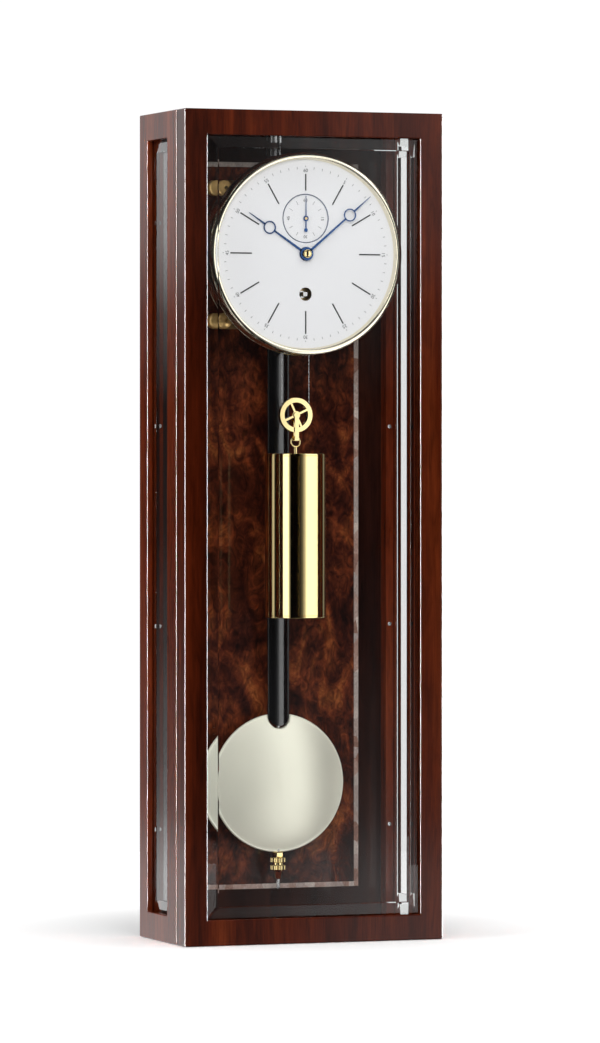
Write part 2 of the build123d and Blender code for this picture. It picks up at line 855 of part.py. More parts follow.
with BuildPart() as great_wheel:
    extrude(
        toothed(
            facing_front(great_wheel_y, 0, barrel_z),
            great_teeth,
            great_module,
            bearing(0, barrel_z, middle_x, middle_z),
            great_bore,
        ),
        amount=great_face,
    )
    rod_between(great_wheel_y - great_face, drum_back_y + 0.2, 1.2, click_x, barrel_z)
save(great_wheel, "great_wheel")

with BuildPart() as drum:
    with BuildSketch(facing_front(drum_back_y, 0, barrel_z)):
        Circle(flange_radius)
    extrude(amount=1)
    with BuildSketch(facing_front(drum_back_y - 1, 0, barrel_z)):
        Circle(drum_radius)
    extrude(amount=drum_back_y - drum_front_y - 2)
    with BuildSketch(facing_front(drum_front_y + 1, 0, barrel_z)):
        Circle(flange_radius)
    extrude(amount=1)
    with BuildSketch(facing_front(drum_back_y, 0, barrel_z)):
        Circle(barrel_arbor_radius)
    extrude(amount=drum_back_y - drum_front_y, mode=Mode.SUBTRACT)
    # the ratchet wheel behind the drum, turning with it
    with BuildSketch(facing_front(drum_back_y + 1.6, 0, barrel_z)):
        with BuildLine():
            ratchet_points = []
            for tooth in range(ratchet_teeth):
                start = math.radians(360 / ratchet_teeth * tooth)
                nearly = math.radians(360 / ratchet_teeth * (tooth + 0.92))
                ratchet_points.append((ratchet_radius * math.cos(start), ratchet_radius * math.sin(start)))
                low = ratchet_radius - 1.8
                ratchet_points.append((low * math.cos(nearly), low * math.sin(nearly)))
            Polyline(*ratchet_points, close=True)
        make_face()
        Circle(barrel_arbor_radius, mode=Mode.SUBTRACT)
    extrude(amount=1.6)
save(drum, "cable_drum")

with BuildPart() as winding_arbor:
    rod_between(rear_plate_y, front_plate_y - plate_gauge, barrel_arbor_radius, 0, barrel_z)
    with BuildSketch(facing_front(front_plate_y - plate_gauge, 0, barrel_z)):
        Rectangle(4.4, 4.4)
    extrude(amount=front_plate_y - plate_gauge - winding_end_y)
save(winding_arbor, "winding_arbor")

with BuildPart() as click:
    with BuildSketch(facing_front(drum_back_y + 1.7, 0, barrel_z)):
        with BuildLine():
            Polyline(
                (click_x - 2.4, 2.0),
                (click_x + 2.4, 2.0),
                (click_x + 2.4, -3.0),
                (ratchet_radius + 2.2, -9.5),
                (ratchet_radius - 0.6, -8.6),
                close=True,
            )
        make_face()
        with Locations((click_x, 0)):
            Circle(1.25, mode=Mode.SUBTRACT)
    extrude(amount=1.4)
save(click, "click")

# ---------------------------------------------------------------- pallets and crutch
crutch_pin_dz = -61.6
crutch_y = -58
pin_back_y = -27
pallet_clear = 1.9
half_span = 47.5
with BuildPart() as pallets:
    rod_between(crutch_y - 2, plates_inside_front + end_shake, arbor_radius, 0, anchor_z)
    rod_between(plates_inside_front + end_shake, front_plate_y - plate_gauge, pivot_radius, 0, anchor_z)
    with BuildSketch(facing_front(escape_wheel_y + 0.4, 0, anchor_z)):
        with BuildLine():
            pallet_radius = escape_radius + pallet_clear
            span_x = pallet_radius * math.sin(math.radians(half_span))
            span_dz = pallet_radius * math.cos(math.radians(half_span)) - (anchor_dz - seconds_dz)
            Polyline(
                (-span_x - 3.2, span_dz + 1.4),
                (-span_x - 0.4, span_dz + 0.4),
                (-span_x + 2.0, span_dz + 5.4),
                (0, -3.2),
                (span_x - 2.0, span_dz + 5.4),
                (span_x + 0.4, span_dz + 0.4),
                (span_x + 3.2, span_dz + 1.4),
                (span_x + 0.6, span_dz + 8.4),
                (0, 3.6),
                (-span_x - 0.6, span_dz + 8.4),
                close=True,
            )
        make_face()
        Circle(arbor_radius - 0.01, mode=Mode.SUBTRACT)
    extrude(amount=2)
save(pallets, "pallet_anchor")

with BuildPart() as crutch:
    with BuildSketch(facing_front(crutch_y, 0, anchor_z)):
        Circle(4)
        with Locations((0, crutch_pin_dz / 2)):
            Rectangle(3.6, -crutch_pin_dz)
        with Locations((0, crutch_pin_dz)):
            Circle(3.4)
    extrude(amount=2)
    rod_between(pin_back_y, crutch_y, 1.5, 0, anchor_z + crutch_pin_dz)
save(crutch, "crutch")

# ================================================================ hands
minute_hand_y = -123.4
hand_gauge = 0.7
minute_length = 96
hour_length = 78
minute_angle = 90 - 49.5
hour_angle = 90 + 360 - 303.8


def ringed_hand(rear_y, angle, length, ring_at, hub_radius, bore, wide):
    """A tapered hand with an open ring near its tip."""
    hand_plane = Plane(
        origin=(0, rear_y, dial_z),
        x_dir=(math.cos(math.radians(angle)), 0, math.sin(math.radians(angle))),
        z_dir=(0, -1, 0),
    )
    ring_radius = 7
    with BuildSketch(hand_plane) as hand:
        with BuildLine():
            Polyline(
                (0, wide / 2),
                (ring_at, wide * 0.32),
                (ring_at, -wide * 0.32),
                (0, -wide / 2),
                close=True,
            )
        make_face()
        with Locations((ring_at, 0)):
            Circle(ring_radius)
            Circle(ring_radius - 1.3, mode=Mode.SUBTRACT)
        with BuildLine():
            Polyline(
                (ring_at + ring_radius - 0.6, 1.0),
                (length, 0.25),
                (length, -0.25),
                (ring_at + ring_radius - 0.6, -1.0),
                close=True,
            )
        make_face()
        Circle(hub_radius)
        Circle(bore, mode=Mode.SUBTRACT)
    extrude(hand.sketch, amount=hand_gauge)


with BuildPart() as hour_hand:
    ringed_hand(hour_hand_y, hour_angle, hour_length, 50, 7.5, hour_pipe, 2.6)
save(hour_hand, "hour_hand")

with BuildPart() as minute_hand:
    ringed_hand(minute_hand_y, minute_angle, minute_length, 65, 7.2, 2.6, 2.6)
save(minute_hand, "minute_hand")

cap_radius = 4.8
cap_tall = 5.6
with BuildPart() as hand_cap:
    with BuildSketch(facing_front(minute_hand_y - hand_gauge - 0.1, 0, dial_z)):
        Circle(cap_radius)
    extrude(amount=cap_tall)
    with BuildSketch(facing_front(minute_hand_y - hand_gauge - 0.1, 0, dial_z)):
        Circle(2.6)
    extrude(amount=minute_hand_y - hand_gauge - hand_hub_y, mode=Mode.SUBTRACT)
    front_rim = hand_cap.faces().sort_by(Axis.Y)[0].edges()
    fillet(front_rim, 2.4)
save(hand_cap, "hand_cap")

seconds_hand_y = -120.4
with BuildPart() as seconds_hand:
    seconds_plane = facing_front(seconds_hand_y, 0, seconds_z)
    with BuildSketch(seconds_plane):
        with BuildLine():
            Polyline((0.7, -12), (0.3, 24.4), (-0.3, 24.4), (-0.7, -12), close=True)
        make_face()
        with Locations((0, -12.5)):
            Circle(2)
        Circle(3)
        Circle(arbor_radius, mode=Mode.SUBTRACT)
    extrude(amount=0.5)
save(seconds_hand, "seconds_hand")

# ================================================================ weight, pulley, cable
pulley_z = base_z + 565.1
weight_low_z = base_z + 346.5
weight_high_z = weight_low_z + weight_length
shell_wall = 1.2
cap_thick = 2.5

with BuildPart() as weight_shell:
    with BuildSketch(Plane(origin=(0, weight_y, weight_low_z + cap_thick), z_dir=(0, 0, 1))):
        Circle(weight_radius)
        Circle(weight_radius - shell_wall, mode=Mode.SUBTRACT)
    extrude(amount=weight_length - 2 * cap_thick)
save(weight_shell, "weight_shell")

with BuildPart() as weight_caps:
    for cap_z in (weight_low_z, weight_high_z - cap_thick):
        with BuildSketch(Plane(origin=(0, weight_y, cap_z), z_dir=(0, 0, 1))):
            Circle(weight_radius)
        extrude(amount=cap_thick)
save(weight_caps, "weight_caps")

with BuildPart() as weight_core:
    with BuildSketch(Plane(origin=(0, weight_y, weight_low_z + cap_thick), z_dir=(0, 0, 1))):
        Circle(weight_radius - shell_wall - 0.3)
    extrude(amount=weight_length - 2 * cap_thick)
save(weight_core, "weight_core")

flange = 18.5
pulley_half = 3.2
pulley_bore = 1.6
axle_radius = 1.5
with BuildPart() as pulley:
    with BuildSketch(Plane(origin=(0, weight_y, pulley_z), x_dir=(1, 0, 0), z_dir=(0, 0, 1))):
        with BuildLine():
            Polyline(
                (pulley_bore, -pulley_half),
                (flange, -pulley_half),
                (flange, -pulley_half + 0.8),
                (pulley_groove_radius - cable_radius - 0.15, -cable_radius - 0.1),
                (pulley_groove_radius - cable_radius - 0.15, cable_radius + 0.1),
                (flange, pulley_half - 0.8),
                (flange, pulley_half),
                (pulley_bore, pulley_half),
                close=True,
            )
        make_face()
    revolve(axis=Axis((0, weight_y, pulley_z), (0, 1, 0)))
    with BuildSketch(
        Plane(
            origin=(0, weight_y + pulley_half, pulley_z),
            x_dir=(math.cos(math.radians(25)), 0, math.sin(math.radians(25))),
            z_dir=(0, -1, 0),
        )
    ) as openings:
        for opening in range(4):
            with BuildLine():
                turn = 90 * opening
                inner_gap = math.degrees(math.asin(1.1 / 4.2))
                outer_gap = math.degrees(math.asin(1.1 / 13.6))
                next_turn = turn + 90
                corner_angles = (
                    turn + inner_gap,
                    turn + outer_gap,
                    next_turn - outer_gap,
                    next_turn - inner_gap,
                )
                corner_radii = (4.2, 13.6, 13.6, 4.2)
                spots = [
                    (r * math.cos(math.radians(a)), r * math.sin(math.radians(a)))
                    for r, a in zip(corner_radii, corner_angles)
                ]
                half = math.radians(turn + 45)
                Line(spots[0], spots[1])
                ThreePointArc(spots[1], (13.6 * math.cos(half), 13.6 * math.sin(half)), spots[2])
                Line(spots[2], spots[3])
                ThreePointArc(spots[3], (4.2 * math.cos(half), 4.2 * math.sin(half)), spots[0])
            make_face()
    extrude(amount=2 * pulley_half, mode=Mode.SUBTRACT)
save(pulley, "pulley")

cheek_gap = 0.5
cheek_thick = 1.2
stirrup_drop = 27.7
bar_radius = 1.2
with BuildPart() as stirrup:
    for rear_y in (weight_y + pulley_half + cheek_gap + cheek_thick, weight_y - pulley_half - cheek_gap):
        with BuildSketch(facing_front(rear_y, 0, pulley_z)):
            Circle(3.2)
            with Locations((0, -stirrup_drop / 2)):
                Rectangle(4.6, stirrup_drop)
        extrude(amount=cheek_thick)
    with BuildSketch(
        facing_front(weight_y + pulley_half + cheek_gap + cheek_thick, 0, pulley_z - stirrup_drop + 1.7)
    ):
        Circle(bar_radius)
    extrude(amount=2 * (pulley_half + cheek_gap + cheek_thick))
    rod_between(
        weight_y + pulley_half + cheek_gap + cheek_thick,
        weight_y - pulley_half - cheek_gap - cheek_thick,
        axle_radius,
        0,
        pulley_z,
    )
save(stirrup, "pulley_stirrup")

hook_radius = 5.2
hook_wire = 1
hook_z = pulley_z - stirrup_drop + 1.7 + bar_radius + 0.02 - hook_radius + hook_wire
with BuildPart() as weight_hook:
    with BuildSketch(Plane(origin=(hook_radius, weight_y, hook_z), x_dir=(1, 0, 0), z_dir=(0, 0, 1))):
        Circle(hook_wire)
    revolve(axis=Axis((0, weight_y, hook_z), (0, 1, 0)))
    with BuildSketch(Plane(origin=(0, weight_y, weight_high_z), z_dir=(0, 0, 1))):
        Circle(2)
    extrude(amount=hook_z - hook_radius - weight_high_z)
save(weight_hook, "weight_hook")

# the cable: two hanging strands, the half turn in the pulley, the coils on the drum
fixed_end_z = dial_z + fixed_end_dz - stud_radius
with BuildPart() as cable_strands:
    for strand_x, high_z in ((-pulley_groove_radius, fixed_end_z), (pulley_groove_radius, barrel_z)):
        with BuildSketch(Plane(origin=(strand_x, weight_y, pulley_z), z_dir=(0, 0, 1))):
            Circle(cable_radius)
        extrude(amount=high_z - pulley_z)
save(cable_strands, "cable_strands")

with BuildPart() as cable_in_pulley:
    with BuildSketch(Plane(origin=(pulley_groove_radius, weight_y, pulley_z), z_dir=(0, 0, 1))):
        Circle(cable_radius)
    revolve(axis=Axis((0, weight_y, pulley_z), (0, 1, 0)), revolution_arc=180)
save(cable_in_pulley, "cable_in_pulley")

cable_turns = 4
coil_radius = drum_radius + cable_radius + 0.03
with BuildPart() as cable_coils:
    for turn in range(cable_turns):
        coil_y = weight_y + 4.2 - turn * 1.0
        with BuildSketch(Plane(origin=(coil_radius, coil_y, barrel_z), z_dir=(0, 0, 1))):
            Circle(cable_radius)
        revolve(axis=Axis((0, coil_y, barrel_z), (0, 1, 0)))
save(cable_coils, "cable_coils")

# ================================================================ pendulum
rod_wide = 24.4
rod_thick = 10
rod_high_z = pivot_z - 26
rod_low_z = base_z + 227.5
chop_low_z = pivot_z - 16
with BuildPart() as suspension_bracket:
    with BuildSketch(facing_front(panel_front_y, 0, ceiling_z - 9)):
        Rectangle(12, 18)
    extrude(amount=16)
    for side in (-1, 1):
        with BuildSketch(facing_front(panel_front_y - 16, side * 4.25, ceiling_z - 3.6)):
            Rectangle(3.5, 7.2)
        extrude(amount=14)
    with BuildSketch(facing_front(pendulum_y + 5, 0, pivot_z + 4.2)):
        Rectangle(5, 5.6)
    extrude(amount=10)
save(suspension_bracket, "suspension_bracket")

with BuildPart() as suspension_spring:
    with BuildSketch(facing_front(pendulum_y + 4, 0, (pivot_z + 1.2 + chop_low_z) / 2)):
        Rectangle(0.4, pivot_z + 1.2 - chop_low_z)
    extrude(amount=8)
    with BuildSketch(facing_front(pendulum_y + 6, 0, (chop_low_z + rod_high_z) / 2)):
        Rectangle(7, chop_low_z - rod_high_z)
    extrude(amount=12)
save(suspension_spring, "suspension_spring")

screw_radius = 2
nut_bore = 2.06
with BuildPart() as pendulum_rod:
    with BuildSketch(Plane(origin=(0, pendulum_y, rod_low_z), z_dir=(0, 0, 1))):
        with BuildLine():
            half_wide = rod_wide / 2
            half_thick = rod_thick / 2
            ThreePointArc((-half_wide, -1.5), (0, -half_thick), (half_wide, -1.5))
            Line((half_wide, -1.5), (half_wide, 1.5))
            ThreePointArc((half_wide, 1.5), (0, half_thick), (-half_wide, 1.5))
            Line((-half_wide, 1.5), (-half_wide, -1.5))
        make_face()
    extrude(amount=rod_high_z - rod_low_z)
    with BuildSketch(facing_front(pendulum_y + rod_thick, 0, rod_low_z + rod_wide / 2)):
        Circle(rod_wide / 2)
        with Locations((0, (rod_high_z - rod_low_z) / 2)):
            Rectangle(rod_wide, rod_high_z - rod_low_z)
    extrude(amount=2 * rod_thick, mode=Mode.INTERSECT)
    with BuildSketch(facing_front(pendulum_y + rod_thick, 0, anchor_z + crutch_pin_dz)):
        Rectangle(3.8, 8)
    extrude(amount=2 * rod_thick, mode=Mode.SUBTRACT)
    with BuildSketch(Plane(origin=(0, pendulum_y, rod_low_z), z_dir=(0, 0, 1))):
        Circle(screw_radius)
    extrude(amount=30, mode=Mode.SUBTRACT)
save(pendulum_rod, "pendulum_rod")

screw_low_z = base_z + 50.8
with BuildPart() as rating_screw:
    with BuildSketch(Plane(origin=(0, pendulum_y, screw_low_z), z_dir=(0, 0, 1))):
        Circle(screw_radius)
    extrude(amount=rod_low_z + 30 - screw_low_z)
save(rating_screw, "rating_screw")

bob_half_thick = 12
bob_rim = 1
with BuildPart() as bob:
    with BuildSketch(Plane(origin=(0, pendulum_y, bob_z), x_dir=(1, 0, 0), z_dir=(0, 0, 1))):
        with BuildLine():
            rise = bob_half_thick - bob_rim
            ball = (bob_radius**2 + rise**2) / (2 * rise)
            mid_r = bob_radius / 2
            mid_y = bob_half_thick - ball + math.sqrt(ball**2 - mid_r**2)
            ThreePointArc((0, -bob_half_thick), (mid_r, -mid_y), (bob_radius, -bob_rim))
            Line((bob_radius, -bob_rim), (bob_radius, bob_rim))
            ThreePointArc((bob_radius, bob_rim), (mid_r, mid_y), (0, bob_half_thick))
            Line((0, bob_half_thick), (0, -bob_half_thick))
        make_face()
    revolve(axis=Axis((0, pendulum_y, bob_z), (0, 1, 0)))
    slot_low = rod_low_z - 3
    with BuildSketch(facing_front(pendulum_y + bob_half_thick + 1, 0, slot_low + rod_wide / 2 + 0.5)):
        Circle(rod_wide / 2 + 0.5)
        with Locations((0, 20)):
            Rectangle(rod_wide + 1, 40)
    extrude(amount=2 * bob_half_thick + 2, mode=Mode.SUBTRACT)
    with BuildSketch(Plane(origin=(0, pendulum_y, bob_z - bob_radius - 1), z_dir=(0, 0, 1))):
        Circle(screw_radius + 0.1)
    extrude(amount=2 * bob_radius, mode=Mode.SUBTRACT)
save(bob, "pendulum_bob")

nut_high_z = bob_z - bob_radius - 0.1
with BuildPart() as rating_nut:
    with BuildSketch(Plane(origin=(0, pendulum_y, base_z + 84.5), z_dir=(0, 0, 1))):
        RegularPolygon(6.6, 6)
    extrude(amount=nut_high_z - base_z - 84.5)
    for low_up, high_up, radius in ((78.5, 84.5, 8.1), (76.3, 78.5, 5.5), (70.4, 76.3, 8.1)):
        with BuildSketch(Plane(origin=(0, pendulum_y, base_z + low_up), z_dir=(0, 0, 1))):
            Circle(radius)
        extrude(amount=high_up - low_up)
    with BuildSketch(Plane(origin=(0, pendulum_y, base_z + 60.6), z_dir=(0, 0, 1))):
        Circle(2.8)
    with BuildSketch(Plane(origin=(0, pendulum_y, base_z + 70.4), z_dir=(0, 0, 1))):
        Circle(5)
    loft()
    with BuildSketch(Plane(origin=(0, pendulum_y, base_z + 60), z_dir=(0, 0, 1))):
        Circle(nut_bore)
    extrude(amount=40, mode=Mode.SUBTRACT)
save(rating_nut, "rating_nut")
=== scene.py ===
"""The looks of a wall regulator clock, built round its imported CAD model, in metres and in its frame."""

import json
import math

import bmesh
import bpy
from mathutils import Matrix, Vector


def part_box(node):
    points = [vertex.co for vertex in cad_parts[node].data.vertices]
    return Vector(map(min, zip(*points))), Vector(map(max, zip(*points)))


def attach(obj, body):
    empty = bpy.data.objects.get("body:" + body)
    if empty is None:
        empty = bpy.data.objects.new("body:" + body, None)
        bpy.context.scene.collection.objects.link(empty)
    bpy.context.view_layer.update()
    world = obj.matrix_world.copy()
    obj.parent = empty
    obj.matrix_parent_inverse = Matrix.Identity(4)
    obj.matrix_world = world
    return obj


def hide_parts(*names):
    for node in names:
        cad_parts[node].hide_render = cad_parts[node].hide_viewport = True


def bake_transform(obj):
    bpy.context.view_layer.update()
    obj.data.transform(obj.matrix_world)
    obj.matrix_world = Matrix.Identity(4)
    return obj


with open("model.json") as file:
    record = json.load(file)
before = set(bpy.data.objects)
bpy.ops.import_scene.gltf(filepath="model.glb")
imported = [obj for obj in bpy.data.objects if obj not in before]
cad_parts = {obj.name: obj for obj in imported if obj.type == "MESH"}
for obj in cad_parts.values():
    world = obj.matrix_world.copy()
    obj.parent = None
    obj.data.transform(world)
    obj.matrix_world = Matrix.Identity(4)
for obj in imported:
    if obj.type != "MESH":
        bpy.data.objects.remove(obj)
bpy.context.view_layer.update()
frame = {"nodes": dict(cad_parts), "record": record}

MM = 0.001
scene = bpy.context.scene
cad = frame["nodes"]


# ================================================================ camera, matched to the photograph
camera_data = bpy.data.cameras.new("camera")
camera_data.lens = 196.67
camera_data.sensor_width = 36
camera_data.shift_y = -0.0598
camera_data.clip_end = 60
camera = bpy.data.objects.new("camera", camera_data)
camera.location = (-2.149, -5.850, -0.3285)
camera.rotation_euler = (math.radians(90), 0, math.radians(-20.5))
scene.collection.objects.link(camera)
scene.camera = camera
scene.view_settings.view_transform = "Standard"


# ================================================================ measures, from the CAD model
def low(node):
    """A node's lowest corner."""
    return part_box(node)[0]


def high(node):
    """A node's highest corner."""
    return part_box(node)[1]


glass_hidden = 4 * MM
lip_deep = 4.1 * MM
hour_bar_proud = 0.5 * MM
front_y = low("door_stiles").y
door_back_y = high("door_stiles").y
half_width = high("door_stiles").x
base_z = low("door_stiles").z
top_z = high("door_stiles").z
opening_half = high("door_rails").x
dial_face_y = low("hour_bars").y + hour_bar_proud
dial_z = (low("bezel").z + high("bezel").z) / 2
bezel_radius = high("bezel").x
bob_z = (low("pendulum_bob").z + high("pendulum_bob").z) / 2
bob_radius = high("pendulum_bob").x
pendulum_y = (low("pendulum_bob").y + high("pendulum_bob").y) / 2
weight_y = (low("weight_shell").y + high("weight_shell").y) / 2
weight_radius = high("weight_shell").x
opening_low_z = low("door_glass").z + glass_hidden
opening_high_z = high("door_glass").z - glass_hidden
lip_back_y = front_y + lip_deep


# ================================================================ shader helpers
def add(tree, kind, settings=None, **inputs):
    """A shader node; an input is a number, a colour or another node's socket."""
    made = tree.nodes.new("ShaderNode" + kind)
    for key, value in (settings or {}).items():
        setattr(made, key, value)
    for key, value in inputs.items():
        socket = made.inputs[key.replace("_", " ")]
        if isinstance(value, bpy.types.NodeSocket):
            tree.links.new(value, socket)
        else:
            socket.default_value = value
    return made


def ramp(tree, factor, *stops):
    """A colour ramp; each stop is (place, colour)."""
    made = tree.nodes.new("ShaderNodeValToRGB")
    tree.links.new(factor, made.inputs[0])
    elements = made.color_ramp.elements
    while len(elements) < len(stops):
        elements.new(0.5)
    for element, (place, colour) in zip(elements, stops):
        element.position = place
        element.color = (*colour, 1) if len(colour) == 3 else colour
    return made.outputs[0]


def grey(*stops):
    """Stops of a ramp between greys."""
    return [(place, (value, value, value)) for place, value in stops]


def multiply(tree, factor, colour, shade):
    """A colour multiplied by a shade, as far as the factor says."""
    made = tree.nodes.new("ShaderNodeMix")
    made.data_type = "RGBA"
    made.blend_type = "MULTIPLY"
    made.inputs[0].default_value = factor
    tree.links.new(colour, made.inputs[6])
    tree.links.new(shade, made.inputs[7])
    return made.outputs[2]


def noise(tree, scale, detail=3.0, roughness=0.5, distortion=0.0):
    """Noise in the object's own space, scaled along each axis."""
    place = tree.nodes.get("place") or add(tree, "TexCoord", {"name": "place"})
    mapping = add(tree, "Mapping", Vector=place.outputs["Object"], Scale=scale)
    made = add(
        tree,
        "TexNoise",
        Vector=mapping.outputs[0],
        Scale=1.0,
        Detail=detail,
        Roughness=roughness,
        Distortion=distortion,
    )
    return made.outputs[0]


def bump(tree, height, strength, distance):
    """Relief from a height, for a shader's normal."""
    return add(tree, "Bump", Strength=strength, Distance=distance, Height=height).outputs[0]


def math_node(tree, operation, *values):
    """Arithmetic on numbers or sockets."""
    made = add(tree, "Math", {"operation": operation})
    for socket, value in zip(made.inputs, values):
        if isinstance(value, bpy.types.NodeSocket):
            tree.links.new(value, socket)
        else:
            socket.default_value = value
    return made.outputs[0]


def principled(name, **values):
    """A material with one Principled shader and its constant sockets set."""
    made = bpy.data.materials.new(name)
    made.use_nodes = True
    shader = made.node_tree.nodes["Principled BSDF"]
    for key, value in values.items():
        shader.inputs[key.replace("_", " ")].default_value = value
    return made, made.node_tree, shader


def plug(tree, shader, **links):
    """Links sockets to a shader's inputs by name."""
    for key, socket in links.items():
        tree.links.new(socket, shader.inputs[key.replace("_", " ")])


# ================================================================ materials: wood
def veneer(name, dark, mid, light, coat=0.5, coat_roughness=0.07):
    """Lacquered veneer with an upright grain: broad bands, ribbon figure, fine fibres and pores."""
    made, tree, shader = principled(
        name, Coat_Weight=coat, Coat_Roughness=coat_roughness, Specular_IOR_Level=0.0
    )
    bands = noise(tree, (34, 34, 1.6), 3, 0.55, 0.4)
    figure = noise(tree, (120, 120, 16), 4, 0.6, 0.8)
    fibres = noise(tree, (900, 900, 22), 3, 0.65)
    pores = noise(tree, (1500, 1500, 90), 2, 0.5)
    colour = ramp(tree, bands, (0.30, dark), (0.52, mid), (0.72, light))
    shade = ramp(tree, figure, *grey((0.30, 0.62), (0.50, 1.0), (0.72, 1.32)))
    colour = multiply(tree, 1.0, colour, shade)
    lines = ramp(tree, fibres, *grey((0.32, 0.70), (0.55, 1.0), (0.75, 1.18)))
    colour = multiply(tree, 0.8, colour, lines)
    specks = ramp(tree, pores, *grey((0.30, 0.45), (0.38, 1.0)))
    colour = multiply(tree, 0.55, colour, specks)
    rough = ramp(tree, fibres, *grey((0.3, 0.46), (0.7, 0.34)))
    plug(tree, shader, Base_Color=colour, Roughness=rough, Normal=bump(tree, fibres, 0.08, 0.0004))
    return made


def burl(name):
    """Burl veneer: swirled dark clouds with small eyes and warm mottles."""
    made, tree, shader = principled(name, Coat_Weight=0.35, Coat_Roughness=0.05, Specular_IOR_Level=0.12)
    clouds = noise(tree, (22, 22, 13), 4, 0.55, 1.6)
    mottle = noise(tree, (75, 75, 50), 5, 0.6, 2.4)
    threads = noise(tree, (420, 420, 260), 3, 0.6, 1.2)
    colour = ramp(
        tree,
        clouds,
        (0.32, (0.014, 0.003, 0.002)),
        (0.46, (0.046, 0.0085, 0.0035)),
        (0.58, (0.115, 0.024, 0.0075)),
        (0.72, (0.240, 0.066, 0.017)),
    )
    shade = ramp(tree, mottle, *grey((0.32, 0.30), (0.50, 0.95), (0.68, 1.9)))
    colour = multiply(tree, 1.0, colour, shade)
    specks = ramp(tree, threads, *grey((0.35, 0.72), (0.6, 1.15)))
    colour = multiply(tree, 0.7, colour, specks)
    plug(tree, shader, Base_Color=colour, Roughness=ramp(tree, mottle, *grey((0.3, 0.45), (0.7, 0.30))))
    plug(tree, shader, Normal=bump(tree, threads, 0.03, 0.0002))
    return made


walnut_case = veneer("walnut_case", (0.072, 0.0095, 0.0027), (0.118, 0.018, 0.0050), (0.180, 0.033, 0.009))
walnut_door = veneer("walnut_door", (0.026, 0.0034, 0.0009), (0.060, 0.0080, 0.0018), (0.100, 0.0165, 0.0038))
# The back panel's walnut is a much darker copy of the case and door walnut. It is painted shade for the
# panel's place deep inside the case, where little light reaches.
walnut_panel = veneer(
    "walnut_panel", (0.010, 0.0028, 0.0019), (0.022, 0.0058, 0.0036), (0.048, 0.013, 0.0065), 0.3, 0.06
)
burl_veneer = burl("burl_veneer")


def shell_inlay_material():
    """Mother-of-pearl strips: pink and silver pieces with a soft shimmer."""
    made, tree, shader = principled("shell_inlay", Roughness=0.22, Coat_Weight=0.7, Coat_Roughness=0.05)
    place = add(tree, "TexCoord", {"name": "place"})
    mapping = add(tree, "Mapping", Vector=place.outputs["Object"], Scale=(95, 60, 70))
    chips = add(tree, "TexVoronoi", Vector=mapping.outputs[0], Scale=1.0, Randomness=0.9)
    tone = ramp(
        tree,
        chips.outputs["Color"],
        (0.15, (0.30, 0.17, 0.13)),
        (0.40, (0.46, 0.32, 0.27)),
        (0.62, (0.42, 0.36, 0.33)),
        (0.85, (0.62, 0.52, 0.46)),
    )
    waves = noise(tree, (420, 420, 260), 4, 0.6, 1.5)
    shimmer = ramp(tree, waves, *grey((0.30, 0.62), (0.55, 1.0), (0.75, 1.45)))
    plug(tree, shader, Base_Color=multiply(tree, 1.0, tone, shimmer))
    plug(tree, shader, Normal=bump(tree, waves, 0.12, 0.0003))
    return made


shell_inlay = shell_inlay_material()


# ================================================================ materials: metal
def metal(name, colour, roughness, wear=0.06, grain=(260, 260, 260), relief=0.02, metallic=1.0):
    """Metal whose gloss and tone vary a little over the surface."""
    made, tree, shader = principled(name, Metallic=metallic)
    film = noise(tree, grain, 4, 0.6)
    smears = noise(tree, (14, 14, 14), 3, 0.5)
    tone = ramp(tree, smears, (0.3, tuple(c * (1 - wear) for c in colour)), (0.7, colour))
    rough = ramp(tree, film, *grey((0.3, roughness * 0.8), (0.7, min(1.0, roughness * 1.3))))
    plug(tree, shader, Base_Color=tone, Roughness=rough)
    if relief:
        plug(tree, shader, Normal=bump(tree, film, relief, 0.0002))
    return made


polished_brass = metal("polished_brass", (0.93, 0.74, 0.36), 0.06, relief=0)
satin_brass = metal(
    "satin_brass", (0.95, 0.94, 0.79), 0.40, grain=(2400, 2400, 14), relief=0.03, metallic=0.55
)
plate_brass = metal("plate_brass", (0.72, 0.52, 0.26), 0.32, grain=(40, 40, 1200), relief=0.05)
bezel_brass = metal("bezel_brass", (0.93, 0.86, 0.68), 0.20, grain=(60, 60, 60), relief=0)
blued_steel = metal("blued_steel", (0.030, 0.085, 0.24), 0.25, wear=0.3)
bright_steel = metal("bright_steel", (0.60, 0.60, 0.60), 0.22, grain=(600, 600, 60))
ring_steel = metal("ring_steel", (0.12, 0.14, 0.19), 0.20, grain=(300, 300, 300), relief=0)
knob_brass = metal("knob_brass", (0.95, 0.62, 0.24), 0.22, grain=(60, 60, 60), relief=0, metallic=0.6)
iron_core = metal("iron_core", (0.10, 0.10, 0.10), 0.6, wear=0.4, relief=0.2)


# ================================================================ materials: paint, lacquer, felt
def paint(name, colour, roughness, coat, grain=(700, 700, 700), relief=0.02, spread=0.05):
    """A painted, lacquered or felted surface whose tone and gloss vary a little."""
    made, tree, shader = principled(name, Coat_Weight=coat, Coat_Roughness=0.06)
    film = noise(tree, grain, 3, 0.5)
    tone = ramp(tree, film, (0.3, tuple(c * (1 - spread) for c in colour)), (0.7, colour))
    rough = ramp(tree, film, *grey((0.3, roughness), (0.7, roughness * 1.2)))
    plug(tree, shader, Base_Color=tone, Roughness=rough)
    plug(tree, shader, Normal=bump(tree, film, relief, 0.0001))
    return made


dial_white = paint("dial_white", (0.87, 0.87, 0.885), 0.42, 0.15, relief=0.01, spread=0.015)
black_paint = paint("black_paint", (0.012, 0.012, 0.013), 0.35, 0.2)
black_lacquer = paint("black_lacquer", (0.004, 0.004, 0.0045), 0.14, 0.8, relief=0.002)
felt = paint("felt", (0.035, 0.030, 0.028), 0.95, 0.0, grain=(2600, 2600, 2600), relief=0.6, spread=0.5)


